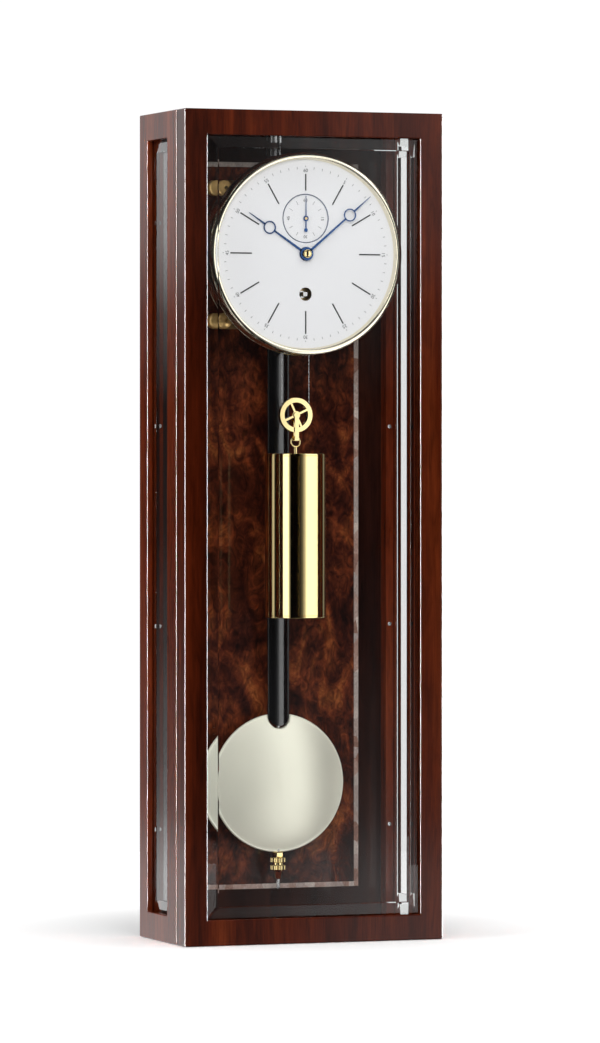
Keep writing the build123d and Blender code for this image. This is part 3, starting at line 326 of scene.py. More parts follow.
# ================================================================ materials: glass
def pane_material():
    """Flat glass: clear, with a mirror gloss by its angle."""
    made = bpy.data.materials.new("clear_pane")
    made.use_nodes = True
    tree = made.node_tree
    tree.nodes.clear()
    clear = add(tree, "BsdfTransparent", Color=(0.985, 0.987, 0.987, 1))
    gloss = add(tree, "BsdfPrincipled", Base_Color=(1, 1, 1, 1), Metallic=1.0, Roughness=0.0)
    facing = add(tree, "LayerWeight", Blend=0.5)
    steep = math_node(tree, "POWER", facing.outputs["Facing"], 5.0)
    both = add(tree, "MixShader", Fac=math_node(tree, "MULTIPLY_ADD", steep, 0.9, 0.018))
    tree.links.new(clear.outputs[0], both.inputs[1])
    tree.links.new(gloss.outputs[0], both.inputs[2])
    tree.links.new(both.outputs[0], add(tree, "OutputMaterial").inputs[0])
    return made


def bevel_material():
    """The cut edge of a pane, which bends what is seen through it but lets the lamps through."""
    made, tree, shader = principled(
        "bevelled_glass", Base_Color=(0.97, 0.985, 0.98, 1), Roughness=0.0, IOR=1.5, Transmission_Weight=1.0
    )
    path = add(tree, "LightPath")
    clear = add(tree, "BsdfTransparent", Color=(0.9, 0.92, 0.91, 1))
    both = add(tree, "MixShader", Fac=path.outputs["Is Shadow Ray"])
    tree.links.new(shader.outputs[0], both.inputs[1])
    tree.links.new(clear.outputs[0], both.inputs[2])
    output = [n for n in tree.nodes if n.type == "OUTPUT_MATERIAL"][0]
    tree.links.new(both.outputs[0], output.inputs[0])
    return made


clear_pane = pane_material()
bevelled_glass = bevel_material()


# ================================================================ mesh helpers
def piece(name, verts, faces, body, materials, replaces=(), sharp=30, indices=None):
    """A mesh object on a body, shaded smooth but for its sharp edges."""
    mesh = bpy.data.meshes.new(name)
    mesh.from_pydata(verts, [], faces)
    for material in materials:
        mesh.materials.append(material)
    if indices:
        mesh.polygons.foreach_set("material_index", indices)
    work = bmesh.new()
    work.from_mesh(mesh)
    bmesh.ops.recalc_face_normals(work, faces=work.faces)
    work.to_mesh(mesh)
    work.free()
    mesh.shade_smooth()
    mesh.set_sharp_from_angle(angle=math.radians(sharp))
    made = bpy.data.objects.new(name, mesh)
    scene.collection.objects.link(made)
    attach(made, body)
    if replaces:
        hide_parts(*replaces)
    return made


def skin(loops, wrap=False):
    """Verts and faces between closed loops of points. The last joins the first, or both ends are capped."""
    count = len(loops[0])
    verts = [point for loop in loops for point in loop]
    faces = []
    for a in range(len(loops) if wrap else len(loops) - 1):
        b = (a + 1) % len(loops)
        for k in range(count):
            n = (k + 1) % count
            faces.append((a * count + k, a * count + n, b * count + n, b * count + k))
    if not wrap:
        faces.append(tuple(reversed(range(count))))
        faces.append(tuple(range(len(verts) - count, len(verts))))
    return verts, faces


def rounded_rect(low_u, high_u, low_v, high_v, radius, steps=4):
    """Points round a rectangle with rounded corners."""
    points = []
    corners = (
        (high_u - radius, high_v - radius, 0),
        (low_u + radius, high_v - radius, 90),
        (low_u + radius, low_v + radius, 180),
        (high_u - radius, low_v + radius, 270),
    )
    for middle_u, middle_v, start in corners:
        for step in range(steps + 1):
            angle = math.radians(start + 90 * step / steps)
            points.append((middle_u + radius * math.cos(angle), middle_v + radius * math.sin(angle)))
    return points


def arc(middle_a, middle_b, radius, start, end, steps=5):
    """Points of an arc, from start to end in degrees."""
    angles = [math.radians(start + (end - start) * step / steps) for step in range(steps + 1)]
    return [(middle_a + radius * math.cos(t), middle_b + radius * math.sin(t)) for t in angles]


outer_corner = 1.4 * MM
inner_corner = 0.5 * MM
least_corner = 0.2 * MM


def frame_loops(outer, inner, section, place):
    """Loops round a frame. Each section point is (rect, inset into the wood, depth)."""
    loops = []
    for rect, inset, depth in section:
        if rect == "outer":
            low_u, high_u, low_v, high_v = outer
            radius = max(least_corner, outer_corner - inset)
            points = rounded_rect(low_u + inset, high_u - inset, low_v + inset, high_v - inset, radius)
        else:
            low_u, high_u, low_v, high_v = inner
            points = rounded_rect(low_u - inset, high_u + inset, low_v - inset, high_v + inset, inner_corner)
        loops.append([place(u, v, depth) for u, v in points])
    return loops


def lathe(profile, centre, axis, steps):
    """Loops of a profile of (radius, along) points turned about an axis."""
    loops = []
    for radius, along in profile:
        loop = []
        for step in range(steps):
            angle = 2 * math.pi * step / steps
            a, b = radius * math.cos(angle), radius * math.sin(angle)
            if axis == "z":
                loop.append((centre[0] + a, centre[1] + b, along))
            else:
                loop.append((centre[0] + a, along, centre[1] + b))
        loops.append(loop)
    return loops


def ground(loops, name, body, material, replaces=(), wrap=False, sharp=30):
    """A piece skinned over loops."""
    verts, faces = skin(loops, wrap)
    return piece(name, verts, faces, body, [material], replaces, sharp)


# ================================================================ the door and the case sides
def edge_arc(rect, radius, face, inward, steps=4):
    """The rounding between a frame's edge and its face: inset and depth."""
    turns = [math.radians(90 * step / steps) for step in range(steps + 1)]
    return [(rect, radius * (1 - math.cos(t)), face + inward * radius * (1 - math.sin(t))) for t in turns]


door_round = 1.5 * MM
proud = 0.05 * MM
rebate = 4.5 * MM
door_section = (
    edge_arc("outer", door_round, front_y, 1)
    + list(reversed(edge_arc("inner", door_round, front_y, 1)))
    + [
        ("inner", 0, lip_back_y),
        ("inner", rebate, lip_back_y),
        ("inner", rebate, door_back_y - proud),
    ]
    + list(reversed(edge_arc("outer", door_round, door_back_y - proud, -1)))
)
door_outer = (-half_width, half_width, base_z, top_z)
door_inner = (-opening_half, opening_half, opening_low_z, opening_high_z)
ground(
    frame_loops(door_outer, door_inner, door_section, lambda u, v, depth: (u, depth, v)),
    "door_frame",
    "door",
    walnut_door,
    ("door_stiles", "door_rails"),
    wrap=True,
)

case_front_y = low("side_frame_left").y
case_back_y = high("side_frame_left").y
beads_low = low("side_beads")
beads_high = high("side_beads")
window = (beads_low.y + rebate, beads_high.y - rebate, beads_low.z + rebate, beads_high.z - rebate)
side_inner_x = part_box("side_frame_right")[0].x
side_lip_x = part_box("side_glass_right")[1].x
side_round = 0.9 * MM
side_section = (
    edge_arc("outer", side_round, half_width, -1)
    + list(reversed(edge_arc("inner", side_round, half_width, -1)))
    + [
        ("inner", 0, side_lip_x),
        ("inner", rebate, side_lip_x),
        ("inner", rebate, side_inner_x),
        ("outer", 0, side_inner_x),
    ]
)
side_outer = (case_front_y + proud, case_back_y, base_z, top_z)


def on_side(side):
    """Places a frame's points on one side of the case: -1 is the left, 1 the right."""
    return lambda u, v, depth: (side * depth, u, v)


for side, name in ((-1, "left"), (1, "right")):
    ground(
        frame_loops(side_outer, window, side_section, on_side(side)),
        f"case_side_{name}",
        "case",
        walnut_case,
        (f"side_frame_{name}",),
        wrap=True,
    )


# ================================================================ glass
bevel_wide = 17 * MM
door_bevel_deep = 3.7 * MM
side_bevel_deep = 2.4 * MM


def bevelled_pane(name, node, body, bounds_uv, back, start, front, place):
    """A pane whose flat middle is clear and whose ground edge bends the view."""
    low_u, high_u, low_v, high_v = bounds_uv
    rings = []
    for inset, depth in (
        (bevel_wide + 0.4 * MM, back),
        (0.3 * MM, back),
        (0, back + (start - back) * 0.15),
        (0, start),
        (bevel_wide, front),
    ):
        corners = ((low_u + inset, low_v + inset), (high_u - inset, low_v + inset))
        corners += ((high_u - inset, high_v - inset), (low_u + inset, high_v - inset))
        rings.append([place(u, v, depth) for u, v in corners])
    verts, faces = skin(rings)
    indices = [1] * (len(faces) - 2) + [0, 0]
    piece(name, verts, faces, body, [clear_pane, bevelled_glass], (node,), 5, indices)


glass_low, glass_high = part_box("door_glass")
bevelled_pane(
    "door_pane",
    "door_glass",
    "door",
    (glass_low.x, glass_high.x, glass_low.z, glass_high.z),
    glass_high.y,
    glass_low.y + door_bevel_deep,
    glass_low.y,
    lambda u, v, depth: (u, depth, v),
)
for side, name in ((-1, "left"), (1, "right")):
    glass_low, glass_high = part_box(f"side_glass_{name}")
    outer_x = max(abs(glass_low.x), abs(glass_high.x))
    inner_x = min(abs(glass_low.x), abs(glass_high.x))
    bevelled_pane(
        f"side_pane_{name}",
        f"side_glass_{name}",
        "case",
        (glass_low.y, glass_high.y, glass_low.z, glass_high.z),
        inner_x,
        outer_x - side_bevel_deep,
        outer_x,
        on_side(side),
    )


# ================================================================ dial print
printed = []


def print_text(text, radius, angle, size, centre_z, face_y):
    """A number on the dial, its foot towards the centre."""
    curve = bpy.data.curves.new("number", "FONT")
    curve.body = text
    curve.size = size
    curve.extrude = 0.02 * MM
    curve.align_x = "CENTER"
    curve.align_y = "CENTER"
    holder = bpy.data.objects.new("number", curve)
    mesh = bpy.data.meshes.new_from_object(holder)
    turn = math.radians(90) - angle
    for vert in mesh.vertices:
        u, v, depth = vert.co
        x = u * math.cos(-turn) - v * math.sin(-turn)
        z = u * math.sin(-turn) + v * math.cos(-turn)
        vert.co = (
            radius * math.cos(angle) + x,
            face_y - 0.03 * MM - depth,
            centre_z + radius * math.sin(angle) + z,
        )
    offset = sum(len(v) for v, _ in printed)
    faces = [tuple(index + offset for index in polygon.vertices) for polygon in mesh.polygons]
    printed.append(([tuple(v.co) for v in mesh.vertices], faces))
    bpy.data.meshes.remove(mesh)
    bpy.data.objects.remove(holder)
    bpy.data.curves.remove(curve)


def print_tick(inner, outer, angle, wide, centre_z, face_y):
    """A printed line along a radius."""
    offset = sum(len(v) for v, _ in printed)
    along = (math.cos(angle), math.sin(angle))
    across = (-along[1] * wide / 2, along[0] * wide / 2)
    verts = []
    for depth in (0.01 * MM, 0.05 * MM):
        for radius, sign in ((inner, -1), (outer, -1), (outer, 1), (inner, 1)):
            x = radius * along[0] + sign * across[0]
            z = radius * along[1] + sign * across[1]
            verts.append((x, face_y - depth, centre_z + z))
    sides = [(0, 1, 2, 3), (7, 6, 5, 4), (0, 4, 5, 1), (1, 5, 6, 2), (2, 6, 7, 3), (3, 7, 4, 0)]
    printed.append((verts, [tuple(index + offset for index in face) for face in sides]))


tick_wide = 0.42 * MM
number_radius = 89.4 * MM
number_size = 5.2 * MM
small_tick_wide = 0.34 * MM
small_number_radius = 19.4 * MM
small_number_size = 4.6 * MM
subdial_sunk = 0.6 * MM
subdial_z = (low("subdial_ring").z + high("subdial_ring").z) / 2
subdial_y = dial_face_y + subdial_sunk
for minute in range(60):
    angle = math.radians(90 - 6 * minute)
    if minute % 5:
        print_tick(91.0 * MM, 93.6 * MM, angle, tick_wide, dial_z, dial_face_y)
    else:
        print_tick(93.2 * MM, 94.8 * MM, angle, tick_wide, dial_z, dial_face_y)
        print_text(str(minute or 60), number_radius, angle, number_size, dial_z, dial_face_y)
for second in range(0, 60, 5):
    angle = math.radians(90 - 6 * second)
    if second % 15 == 0:
        print_text(
            str(second or 60), small_number_radius, angle, small_number_size, subdial_z, subdial_y
        )
    else:
        print_tick(16.8 * MM, 21.2 * MM, angle, small_tick_wide, subdial_z, subdial_y)
verts = [v for part, _ in printed for v in part]
faces = [f for _, part in printed for f in part]
piece("dial_print", verts, faces, "case", [black_paint])

# ================================================================ bezel
bezel_front_y = low("bezel").y
bezel_back_y = high("bezel").y
bezel_inner = 101.3 * MM
profile = [
    (bezel_inner, dial_face_y),
    (bezel_inner + 0.2 * MM, dial_face_y - 1.0 * MM),
    (bezel_inner + 1.3 * MM, bezel_front_y + 1.5 * MM),
    (bezel_inner + 1.9 * MM, bezel_front_y + 0.7 * MM),
    (bezel_inner + 2.8 * MM, bezel_front_y + 0.15 * MM),
    (bezel_inner + 4.0 * MM, bezel_front_y),
    (bezel_radius - 2.4 * MM, bezel_front_y + 0.45 * MM),
    (bezel_radius - 1.2 * MM, bezel_front_y + 1.1 * MM),
    (bezel_radius - 0.5 * MM, bezel_front_y + 2.2 * MM),
    (bezel_radius - 0.3 * MM, bezel_front_y + 3.4 * MM),
    (bezel_radius - 0.3 * MM, bezel_back_y - 1.2 * MM),
    (bezel_radius, bezel_back_y - 0.9 * MM),
    (bezel_radius, bezel_back_y - 0.2 * MM),
    (bezel_radius - 0.3 * MM, bezel_back_y),
    (bezel_radius - 1.9 * MM, bezel_back_y),
    (bezel_radius - 1.9 * MM, dial_face_y),
]
ground(
    lathe(profile, (0, dial_z), "y", 256),
    "bezel_ring",
    "case",
    bezel_brass,
    ("bezel",),
    wrap=True,
    sharp=40,
)


# ================================================================ weight
def round_corner(radius, along, size, outward, upward):
    """Profile points round a corner, from the side to the end or back."""
    return [
        (
            radius - size + size * math.cos(math.radians(turn)),
            along - upward * (size - size * math.sin(math.radians(turn))),
        )
        for turn in ((0, 22, 45, 68, 90) if outward else (90, 68, 45, 22, 0))
    ]


weight_low = low("weight_caps").z
weight_high = high("weight_caps").z
groove = 0.35 * MM
cap = 2.5 * MM
cap_round = 0.8 * MM
cap_flat = 12 * MM
axis_gap = 0.5 * MM
shape = [(axis_gap, weight_low), (cap_flat, weight_low)]
shape += round_corner(weight_radius, weight_low, cap_round, False, -1)
shape += [(weight_radius, weight_low + cap - groove), (weight_radius - groove, weight_low + cap)]
shape += [(weight_radius, weight_low + cap + groove)]
shape += [(weight_radius, weight_low + (weight_high - weight_low) * k / 12) for k in range(1, 12)]
shape += [(weight_radius, weight_high - cap - groove), (weight_radius - groove, weight_high - cap)]
shape += [(weight_radius, weight_high - cap + groove)]
shape += round_corner(weight_radius, weight_high, cap_round, True, 1)
shape += [(cap_flat, weight_high), (axis_gap, weight_high)]
ground(
    lathe(shape, (0, weight_y), "z", 160),
    "weight_body",
    "weight",
    polished_brass,
    ("weight_shell", "weight_caps"),
)

# ================================================================ pendulum bob
bob_half = (high("pendulum_bob").y - low("pendulum_bob").y) / 2
rim = 1.0 * MM
rise = bob_half - rim
ball = (bob_radius**2 + rise**2) / (2 * rise)
shape = []
lip = 2.2 * MM
for step in range(25):
    radius = 0.4 * MM + (bob_radius - lip - 0.4 * MM) * step / 24
    shape.append((radius, rise + rim - ball + math.sqrt(ball**2 - radius**2)))
edge_height = shape[-1][1]
shape += [(bob_radius - lip * 0.82, edge_height - 0.05 * MM), (bob_radius - lip * 0.5, edge_height * 1.02)]
shape += [(bob_radius - lip * 0.2, edge_height * 0.86), (bob_radius, edge_height * 0.4), (bob_radius, 0)]
half = [(radius, pendulum_y - height) for radius, height in shape]
other = [(radius, pendulum_y + height) for radius, height in reversed(shape[:-1])]
bob = ground(
    lathe(half + other, (0, bob_z), "y", 192),
    "bob_disc",
    "bob",
    satin_brass,
    ("pendulum_bob",),
    sharp=25,
)
rod_low = low("pendulum_rod").z
rod_half = high("pendulum_rod").x
slot_half = rod_half + 0.5 * MM
slot_middle = rod_low - 3 * MM + slot_half
slot_top = bob_z + bob_radius * 1.2
outline = arc(0, slot_middle, slot_half, 180, 360, 24) + [(slot_half, slot_top), (-slot_half, slot_top)]
loops = [[(x, pendulum_y + side * 2 * bob_half, z) for x, z in outline] for side in (-1, 1)]
cutter = ground(loops, "cutter", "bob", satin_brass)
cut = bob.modifiers.new("slot", "BOOLEAN")
cut.object = cutter
cut.operation = "DIFFERENCE"
cut.solver = "EXACT"
bpy.context.view_layer.update()
solid = bpy.data.meshes.new_from_object(bob.evaluated_get(bpy.context.evaluated_depsgraph_get()))
bob.modifiers.clear()
bob.data = solid
bpy.data.objects.remove(cutter)

# ================================================================ rating nut: hexagon, knurled rings, cone
nut_top_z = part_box("rating_nut")[1].z
steps_round = 120
knurl_deep = 0.045


def section_round(radius, along, kind):
    """One loop of the nut: round, six-sided or knurled."""
    loop = []
    for step in range(steps_round):
        angle = 2 * math.pi * step / steps_round
        reach = radius
        if kind == "hex":
            reach = radius * math.cos(math.pi / 6) / math.cos((angle % (math.pi / 3)) - math.pi / 6)
        elif kind == "knurl":
            reach = radius * (1 - knurl_deep * (step % 3 == 0))
        loop.append((reach * math.cos(angle), pendulum_y + reach * math.sin(angle), along))
    return loop


def nut_z(up):
    """A height of the nut, given in millimetres above the foot of the case."""
    return base_z + up * MM


bore = 2.1 * MM
nut_sections = [
    (bore, nut_z(60.6), "round"),
    (2.5 * MM, nut_z(60.6), "round"),
    (2.9 * MM, nut_z(61.1), "round"),
    (4.7 * MM, nut_z(69.2), "round"),
    (4.9 * MM, nut_z(70.4), "round"),
    (7.3 * MM, nut_z(70.4), "round"),
    (8.1 * MM, nut_z(71.2), "knurl"),
    (8.1 * MM, nut_z(75.5), "knurl"),
    (7.3 * MM, nut_z(76.3), "round"),
    (5.5 * MM, nut_z(76.3), "round"),
    (5.5 * MM, nut_z(78.5), "round"),
    (7.3 * MM, nut_z(78.5), "round"),
    (8.1 * MM, nut_z(79.3), "knurl"),
    (8.1 * MM, nut_z(83.7), "knurl"),
    (7.3 * MM, nut_z(84.5), "round"),
    (5.6 * MM, nut_z(84.5), "round"),
    (5.9 * MM, nut_z(84.9), "hex"),
    (6.5 * MM, nut_z(85.4), "hex"),
    (6.5 * MM, nut_top_z - 0.9 * MM, "hex"),
    (5.6 * MM, nut_top_z, "hex"),
    (bore, nut_top_z, "round"),
]
ground(
    [section_round(*section) for section in nut_sections],
    "timing_nut",
    "rating_nut",
    polished_brass,
    ("rating_nut",),
    wrap=True,
)


# ================================================================ cable: laid steel rope
cable_radius = 0.45 * MM
rope_mean_radius = 0.40 * MM
strand_swell = 0.13
rope_pitch = 4.5 * MM
rope_step = 0.75 * MM


def rope(x, low_z, high_z):
    """An upright rope of six twisted strands."""
    lobes = 6
    around = 18
    count = int((high_z - low_z) / rope_step)
    loops = []
    for level in range(count + 1):
        z = low_z + (high_z - low_z) * level / count
        twist = 2 * math.pi * (z - low_z) / rope_pitch
        loop = []
        for step in range(around):
            angle = 2 * math.pi * step / around
            reach = rope_mean_radius * (1 + strand_swell * math.cos(lobes * (angle - twist / lobes)))
            loop.append((x + reach * math.cos(angle), weight_y + reach * math.sin(angle), z))
        loops.append(loop)
    return skin(loops)


strand_low, strand_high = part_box("cable_strands")
pulley_z = (low("pulley").z + high("pulley").z) / 2
left_verts, left_faces = rope(strand_low.x + cable_radius, pulley_z, dial_z - 72 * MM)
right_verts, right_faces = rope(strand_high.x - cable_radius, pulley_z, strand_high.z)
offset = len(left_verts)
all_faces = left_faces + [tuple(i + offset for i in face) for face in right_faces]
mesh = bpy.data.meshes.new("cable_ropes")
mesh.from_pydata(left_verts + right_verts, [], all_faces)
mesh.materials.append(bright_steel)
mesh.shade_smooth()
ropes = bpy.data.objects.new("cable_ropes", mesh)
scene.collection.objects.link(ropes)
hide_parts("cable_strands")
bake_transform(ropes)


# ================================================================ hands
ring_out = 7 * MM
ring_in = 5.7 * MM
hand_bore = 2.7 * MM
hand_chamfer = 0.14 * MM


def circle(middle_u, radius):
    """Points of a circle on a hand's middle line."""
    turns = [2 * math.pi * k / 64 for k in range(64)]
    return [(middle_u + radius * math.cos(t), radius * math.sin(t)) for t in turns]


def bar(start, start_half, end, end_half):
    """Corners of a tapered bar along a hand's middle line."""
    return [(start, start_half), (start, -start_half), (end, -end_half), (end, end_half)]


def shrunk(outline, middle, amount, ring):
    """An outline moved towards its middle by about an amount; a bar's width is kept above nothing."""
    moved = []
    for point in outline:
        away = Vector(point) - middle
        scale_u = 1 - amount / away.length
        scale_v = scale_u if ring else max(0.0, 1 - amount / max(abs(away.y), 0.2 * MM))
        moved.append((middle.x + away.x * scale_u, middle.y + away.y * scale_v))
    return moved


def hand(name, node, body, rear_y, face_y, clockwise, length, ring_at, hub, wide):
    """A tapered hand with an open ring, rounded along its edges."""
    turn = math.radians(90 - clockwise)
    bar_end = ring_at - ring_in - 0.6 * MM
    tip = ring_at + ring_in + 0.5 * MM
    parts = (
        (bar(hub * 0.6, wide / 2, bar_end, wide * 0.34), None),
        (bar(tip, 1.0 * MM, length, 0.25 * MM), None),
        (circle(ring_at, ring_out), circle(ring_at, ring_in)),
        (circle(0, hub), circle(0, hand_bore)),
    )

    def place(points, depth):
        """Turns points of the hand to its angle, at a depth."""
        cos, sin = math.cos(turn), math.sin(turn)
        return [(u * cos - v * sin, depth, dial_z + u * sin + v * cos) for u, v in points]

    verts, faces = [], []
    for points, hole in parts:
        base = len(verts)
        count = len(points)
        middle = Vector((sum(p[0] for p in points) / count, sum(p[1] for p in points) / count))
        top = place(shrunk(points, middle, hand_chamfer, hole), face_y)
        side = place(points, face_y + hand_chamfer)
        rear = place(points, rear_y)
        if hole:
            hole_top = place(shrunk(hole, middle, -hand_chamfer, hole), face_y)
            hole_side = place(hole, face_y + hand_chamfer)
            hole_rear = place(hole, rear_y)
            more_verts, more_faces = skin([side, top, hole_top, hole_side, hole_rear, rear], wrap=True)
        else:
            more_verts, more_faces = skin([rear, side, top])
        verts += more_verts
        faces += [tuple(i + base for i in face) for face in more_faces]
    piece(name, verts, faces, body, [blued_steel], (node,), 20)


minute_low, minute_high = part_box("minute_hand")
hour_low, hour_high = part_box("hour_hand")
hand_wide = 2.6 * MM
hand(
    "long_hand",
    "minute_hand",
    "centre",
    minute_high.y,
    minute_low.y,
    clockwise=49.5,
    length=96 * MM,
    ring_at=65 * MM,
    hub=7.2 * MM,
    wide=hand_wide,
)
hand(
    "short_hand",
    "hour_hand",
    "hour_work",
    hour_high.y,
    hour_low.y,
    clockwise=303.8,
    length=78 * MM,
    ring_at=50 * MM,
    hub=7.5 * MM,
    wide=hand_wide,
)

# ================================================================ domed knobs that hold the movement
knobs_low, knobs_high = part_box("post_knobs")
knob_radius = 8.5 * MM
neck_radius = 4.5 * MM
knob_back_y = knobs_high.y
dome_start_y = knob_back_y - 5.4 * MM
dome_deep = dome_start_y - knobs_low.y
knob_profile = [
    (2.1 * MM, knob_back_y),
    (neck_radius, knob_back_y),
    (neck_radius, knob_back_y - 2.6 * MM),
    (knob_radius - 1.2 * MM, knob_back_y - 3 * MM),
    (knob_radius, knob_back_y - 4.2 * MM),
    (knob_radius, dome_start_y),
]
for step in range(1, 12):
    turn = math.radians(87 * step / 11)
    knob_profile.append((knob_radius * math.cos(turn), dome_start_y - dome_deep * math.sin(turn)))
knob_verts, knob_faces = [], []
for side in (-1, 1):
    for knob_z in (knobs_low.z + knob_radius, knobs_high.z - knob_radius):
        knob_x = side * (knobs_high.x - knob_radius)
        some_verts, some_faces = skin(lathe(knob_profile, (knob_x, knob_z), "y", 48))
        knob_faces += [tuple(index + len(knob_verts) for index in face) for face in some_faces]
        knob_verts += some_verts
piece("knob_domes", knob_verts, knob_faces, "case", [knob_brass], ("post_knobs",), 40)

# ================================================================ domed cap of the hands
cap_low, cap_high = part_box("hand_cap")
cap_radius = cap_high.x
cap_start_y = cap_high.y - 1.2 * MM
dome = [(0.3 * MM, cap_high.y), (cap_radius, cap_high.y), (cap_radius, cap_start_y)]
for step in range(1, 13):
    turn = math.radians(90 * step / 12)
    reach = max(0.2 * MM, cap_radius * math.cos(turn))
    dome.append((reach, cap_start_y - (cap_start_y - cap_low.y) * math.sin(turn)))
ground(
    lathe(dome, (0, dial_z), "y", 64),
    "cap_dome",
    "centre",
    polished_brass,
    ("hand_cap",),
    sharp=40,
)

# ================================================================ materials on the CAD nodes that stay
finishes = {
    "walnut_case": walnut_case,
    "walnut_door": walnut_door,
    "walnut_panel": walnut_panel,
    "burl_veneer": burl_veneer,
    "shell_inlay": shell_inlay,
    "clear_glass": clear_pane,
    "polished_brass": polished_brass,
    "satin_brass": satin_brass,
    "plate_brass": plate_brass,
    "blued_steel": blued_steel,
    "bright_steel": bright_steel,
    "black_lacquer": black_lacquer,
    "dial_white": dial_white,
    "black_paint": black_paint,
    "iron_core": iron_core,
    "felt": felt,
}
for part in frame["record"]["subparts"]:
    node = cad[part["node"]]
    node.data.materials.clear()
    finish = ring_steel if part["node"] == "subdial_ring" else finishes[part["material_slot"]]
    node.data.materials.append(finish)
    node.data.shade_smooth()
    node.data.set_sharp_from_angle(angle=math.radians(30))

# ================================================================ floor, world and lamps
floor_mesh = bpy.data.meshes.new("floor")
floor_radius = 1.3
floor_glow_from = 0.84
floor_z = base_z - 0.6 * MM
floor_turns = [math.pi * k / 48 for k in range(96)]
floor_verts = [(floor_radius * math.cos(t), floor_radius * math.sin(t), floor_z) for t in floor_turns]
floor_mesh.from_pydata(floor_verts, [], [tuple(range(96))])
floor_paint = paint("floor_paint", (0.92, 0.92, 0.92), 0.8, 0.0, grain=(30, 30, 30), relief=0.01, spread=0.01)
floor_shader = floor_paint.node_tree.nodes["Principled BSDF"]
floor_shader.inputs["Emission Color"].default_value = (1, 1, 1, 1)
floor_tree = floor_paint.node_tree
# The floor glows with painted light. The glow is faint within about 0.86 m of the middle, where the lamps'
# shadows of the clock still show, and strong beyond, so the far floor reads white.
reach = add(floor_tree, "VectorMath", {"operation": "LENGTH"})
floor_tree.links.new(floor_tree.nodes["place"].outputs["Object"], reach.inputs[0])
outward = math_node(floor_tree, "SUBTRACT", reach.outputs["Value"], floor_glow_from)
glow = ramp(floor_tree, outward, *grey((0.02, 0.10), (0.10, 0.44)))
plug(floor_tree, floor_shader, Emission_Strength=glow)
floor_shader.inputs["Specular IOR Level"].default_value = 0.0
floor_mesh.materials.append(floor_paint)
floor = bpy.data.objects.new("floor", floor_mesh)
scene.collection.objects.link(floor)
floor.visible_diffuse = False
floor.visible_glossy = False
floor.visible_shadow = False

world = bpy.data.worlds.new("studio")
scene.world = world
world.use_nodes = True
world.cycles_visibility.glossy = False
tree = world.node_tree
tree.nodes.clear()
# white behind the clock and straight through its glass; a soft grey for the light that falls on it
path = add(tree, "LightPath")
passed = path.outputs["Is Transmission Ray"]
straight = math_node(tree, "LESS_THAN", path.outputs["Glossy Depth"], 0.5)
through_glass = math_node(tree, "MULTIPLY", passed, straight)
seen = math_node(tree, "MAXIMUM", path.outputs["Is Camera Ray"], through_glass)
soft = math_node(tree, "MULTIPLY_ADD", passed, -0.5, 0.5)
strength = math_node(tree, "MAXIMUM", math_node(tree, "MULTIPLY", seen, 1.02), soft)
sky = add(tree, "Background", Color=(1, 1, 1, 1), Strength=strength)
tree.links.new(sky.outputs[0], add(tree, "OutputWorld").inputs[0])


def round_stops(*stops):
    """Ramp stops from azimuths in degrees, 0 in front and positive to the right."""
    return [((azimuth + 180) / 360, (value, value, value)) for azimuth, value in stops]


# Round studio tents, seen only in gloss: soft boxes for the metal and the pendulum rod, veils for
# everything that isn't metal, and narrow strong strips that draw a line along the wood's rounded edges
tent_low, tent_high = -1.4, 0.8


def height_stops(*stops):
    """Ramp stops from heights in metres."""
    return [((z - tent_low) / (tent_high - tent_low), (value, value, value)) for z, value in stops]


def tent(name, radius, strength, around, upright=None):
    """A ring of light; around gives its strength by azimuth and upright by height."""
    made = bpy.data.materials.new(name)
    made.use_nodes = True
    tree = made.node_tree
    tree.nodes.clear()
    parts = add(tree, "SeparateXYZ", Vector=add(tree, "TexCoord").outputs["Object"])
    forward = math_node(tree, "MULTIPLY", parts.outputs["Y"], -1.0)
    turn = math_node(tree, "ARCTAN2", parts.outputs["X"], forward)
    azimuth = math_node(tree, "MULTIPLY_ADD", turn, 1 / (2 * math.pi), 0.5)
    glow = math_node(tree, "MULTIPLY", ramp(tree, azimuth, *round_stops(*around)), strength)
    if upright:
        span = tent_high - tent_low
        height = math_node(tree, "MULTIPLY_ADD", parts.outputs["Z"], 1 / span, -tent_low / span)
        glow = math_node(tree, "MULTIPLY", glow, ramp(tree, height, *height_stops(*upright)))
    lit = add(tree, "Emission", Strength=glow)
    through = add(tree, "AddShader")
    tree.links.new(lit.outputs[0], through.inputs[0])
    tree.links.new(add(tree, "BsdfTransparent").outputs[0], through.inputs[1])
    tree.links.new(through.outputs[0], add(tree, "OutputMaterial").inputs[0])
    sides = 128
    turns = [2 * math.pi * step / sides for step in range(sides)]
    ring_low = [(radius * math.cos(t), radius * math.sin(t), tent_low) for t in turns]
    ring_high = [(x, y, tent_high) for x, y, _ in ring_low]
    mesh = bpy.data.meshes.new(name)
    walls = [(k, (k + 1) % sides, (k + 1) % sides + sides, k + sides) for k in range(sides)]
    mesh.from_pydata(ring_low + ring_high, [], walls)
    mesh.materials.append(made)
    shell = bpy.data.objects.new(name, mesh)
    scene.collection.objects.link(shell)
    for ray in ("camera", "diffuse", "transmission", "volume_scatter", "shadow"):
        setattr(shell, f"visible_{ray}", False)
    return shell


def shine_on(shell, name, receivers):
    """Lets a tent light only these pieces."""
    group = bpy.data.collections.new(name)
    for receiver in receivers:
        group.objects.link(receiver)
    shell.light_linking.receiver_collection = group


metals = {
    polished_brass,
    satin_brass,
    plate_brass,
    bezel_brass,
    knob_brass,
    blued_steel,
    bright_steel,
    ring_steel,
    iron_core,
}
pieces = [thing for thing in scene.objects if thing.type == "MESH" and thing is not floor]
metal_pieces = [thing for thing in pieces if thing.data.materials and thing.data.materials[0] in metals]
other_pieces = [thing for thing in pieces if thing not in metal_pieces]
edge_names = ("door_frame", "case_side_left", "case_side_right")
edge_pieces = [thing for thing in pieces if thing.name in edge_names]
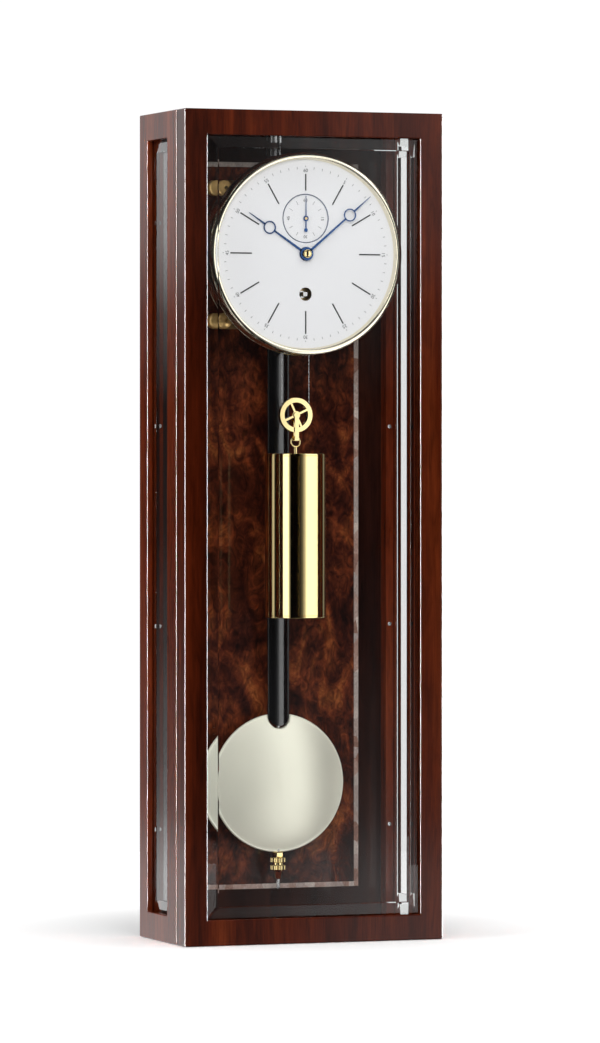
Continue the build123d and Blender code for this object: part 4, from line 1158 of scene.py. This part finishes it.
# keeps the large faces flat in their shading, so that only the rounded edges catch the strips
for thing in edge_pieces:
    flat = thing.modifiers.new("flat_faces", "WEIGHTED_NORMAL")
    flat.keep_sharp = True
    flat.weight = 100

boxes = tent(
    "tent_boxes",
    radius=0.90,
    strength=2.4,
    around=(
        *((-140, 0.0), (-114, 0.02), (-109, 0.30), (-104, 0.30), (-98, 0.02), (-91, 0.05)),
        *((-86, 1.0), (-44, 1.0), (-40, 0.35), (-35, 0.0), (-4, 0.0), (6, 0.06)),
        *((14, 0.28), (21, 0.85), (68, 0.85), (74, 0.10), (120, 0.10), (150, 0.03)),
    ),
)
veils = tent(
    "tent_veils",
    radius=0.92,
    strength=1.0,
    around=(
        *((-179, 1.45), (-140, 1.45), (-120, 0.6), (-60, 0.1), (0, 0.12), (10, 0.18)),
        *((16, 0.35), (21, 0.9), (27, 1.1), (60, 0.5), (120, 0.5), (179, 1.2)),
    ),
    upright=(
        *((-1.1, 1.3), (-0.92, 1.3), (-0.835, 1.1), (-0.76, 0.42), (-0.70, 0.25), (-0.56, 0.10)),
        *((-0.42, 0.03), (-0.26, 0.02), (-0.15, 0.18), (-0.055, 0.75), (0.07, 1.0)),
    ),
)
strips = tent(
    "tent_strips",
    radius=0.94,
    strength=340.0,
    around=((-79, 0.0), (-76, 1.0), (-69, 1.0), (-66, 0.0), (66, 0.0), (69, 1.0), (76, 1.0), (79, 0.0)),
)
shine_on(boxes, "lit_by_boxes", metal_pieces + [cad["pendulum_rod"]])
shine_on(veils, "lit_by_veils", other_pieces)
shine_on(strips, "lit_by_strips", edge_pieces)


def area_light(name, place, aim, wide, tall, power):
    """A soft lamp that neither the camera nor any gloss sees."""
    data = bpy.data.lights.new(name, "AREA")
    data.shape = "RECTANGLE"
    data.size = wide
    data.size_y = tall
    data.energy = power
    lamp = bpy.data.objects.new(name, data)
    lamp.location = place
    lamp.rotation_euler = (Vector(aim) - Vector(place)).to_track_quat("-Z", "Y").to_euler()
    lamp.visible_camera = False
    lamp.visible_glossy = False
    lamp.visible_transmission = False
    scene.collection.objects.link(lamp)


middle = (0, -0.08, -0.4)
area_light("fill", (-0.9, -3.2, 0.9), middle, wide=2.4, tall=1.6, power=60)
area_light("side", (-2.9, -0.9, 0.3), middle, wide=1.6, tall=1.8, power=30)
area_light("overhead", (0.2, -1.2, 2.6), middle, wide=2.6, tall=2.6, power=30)
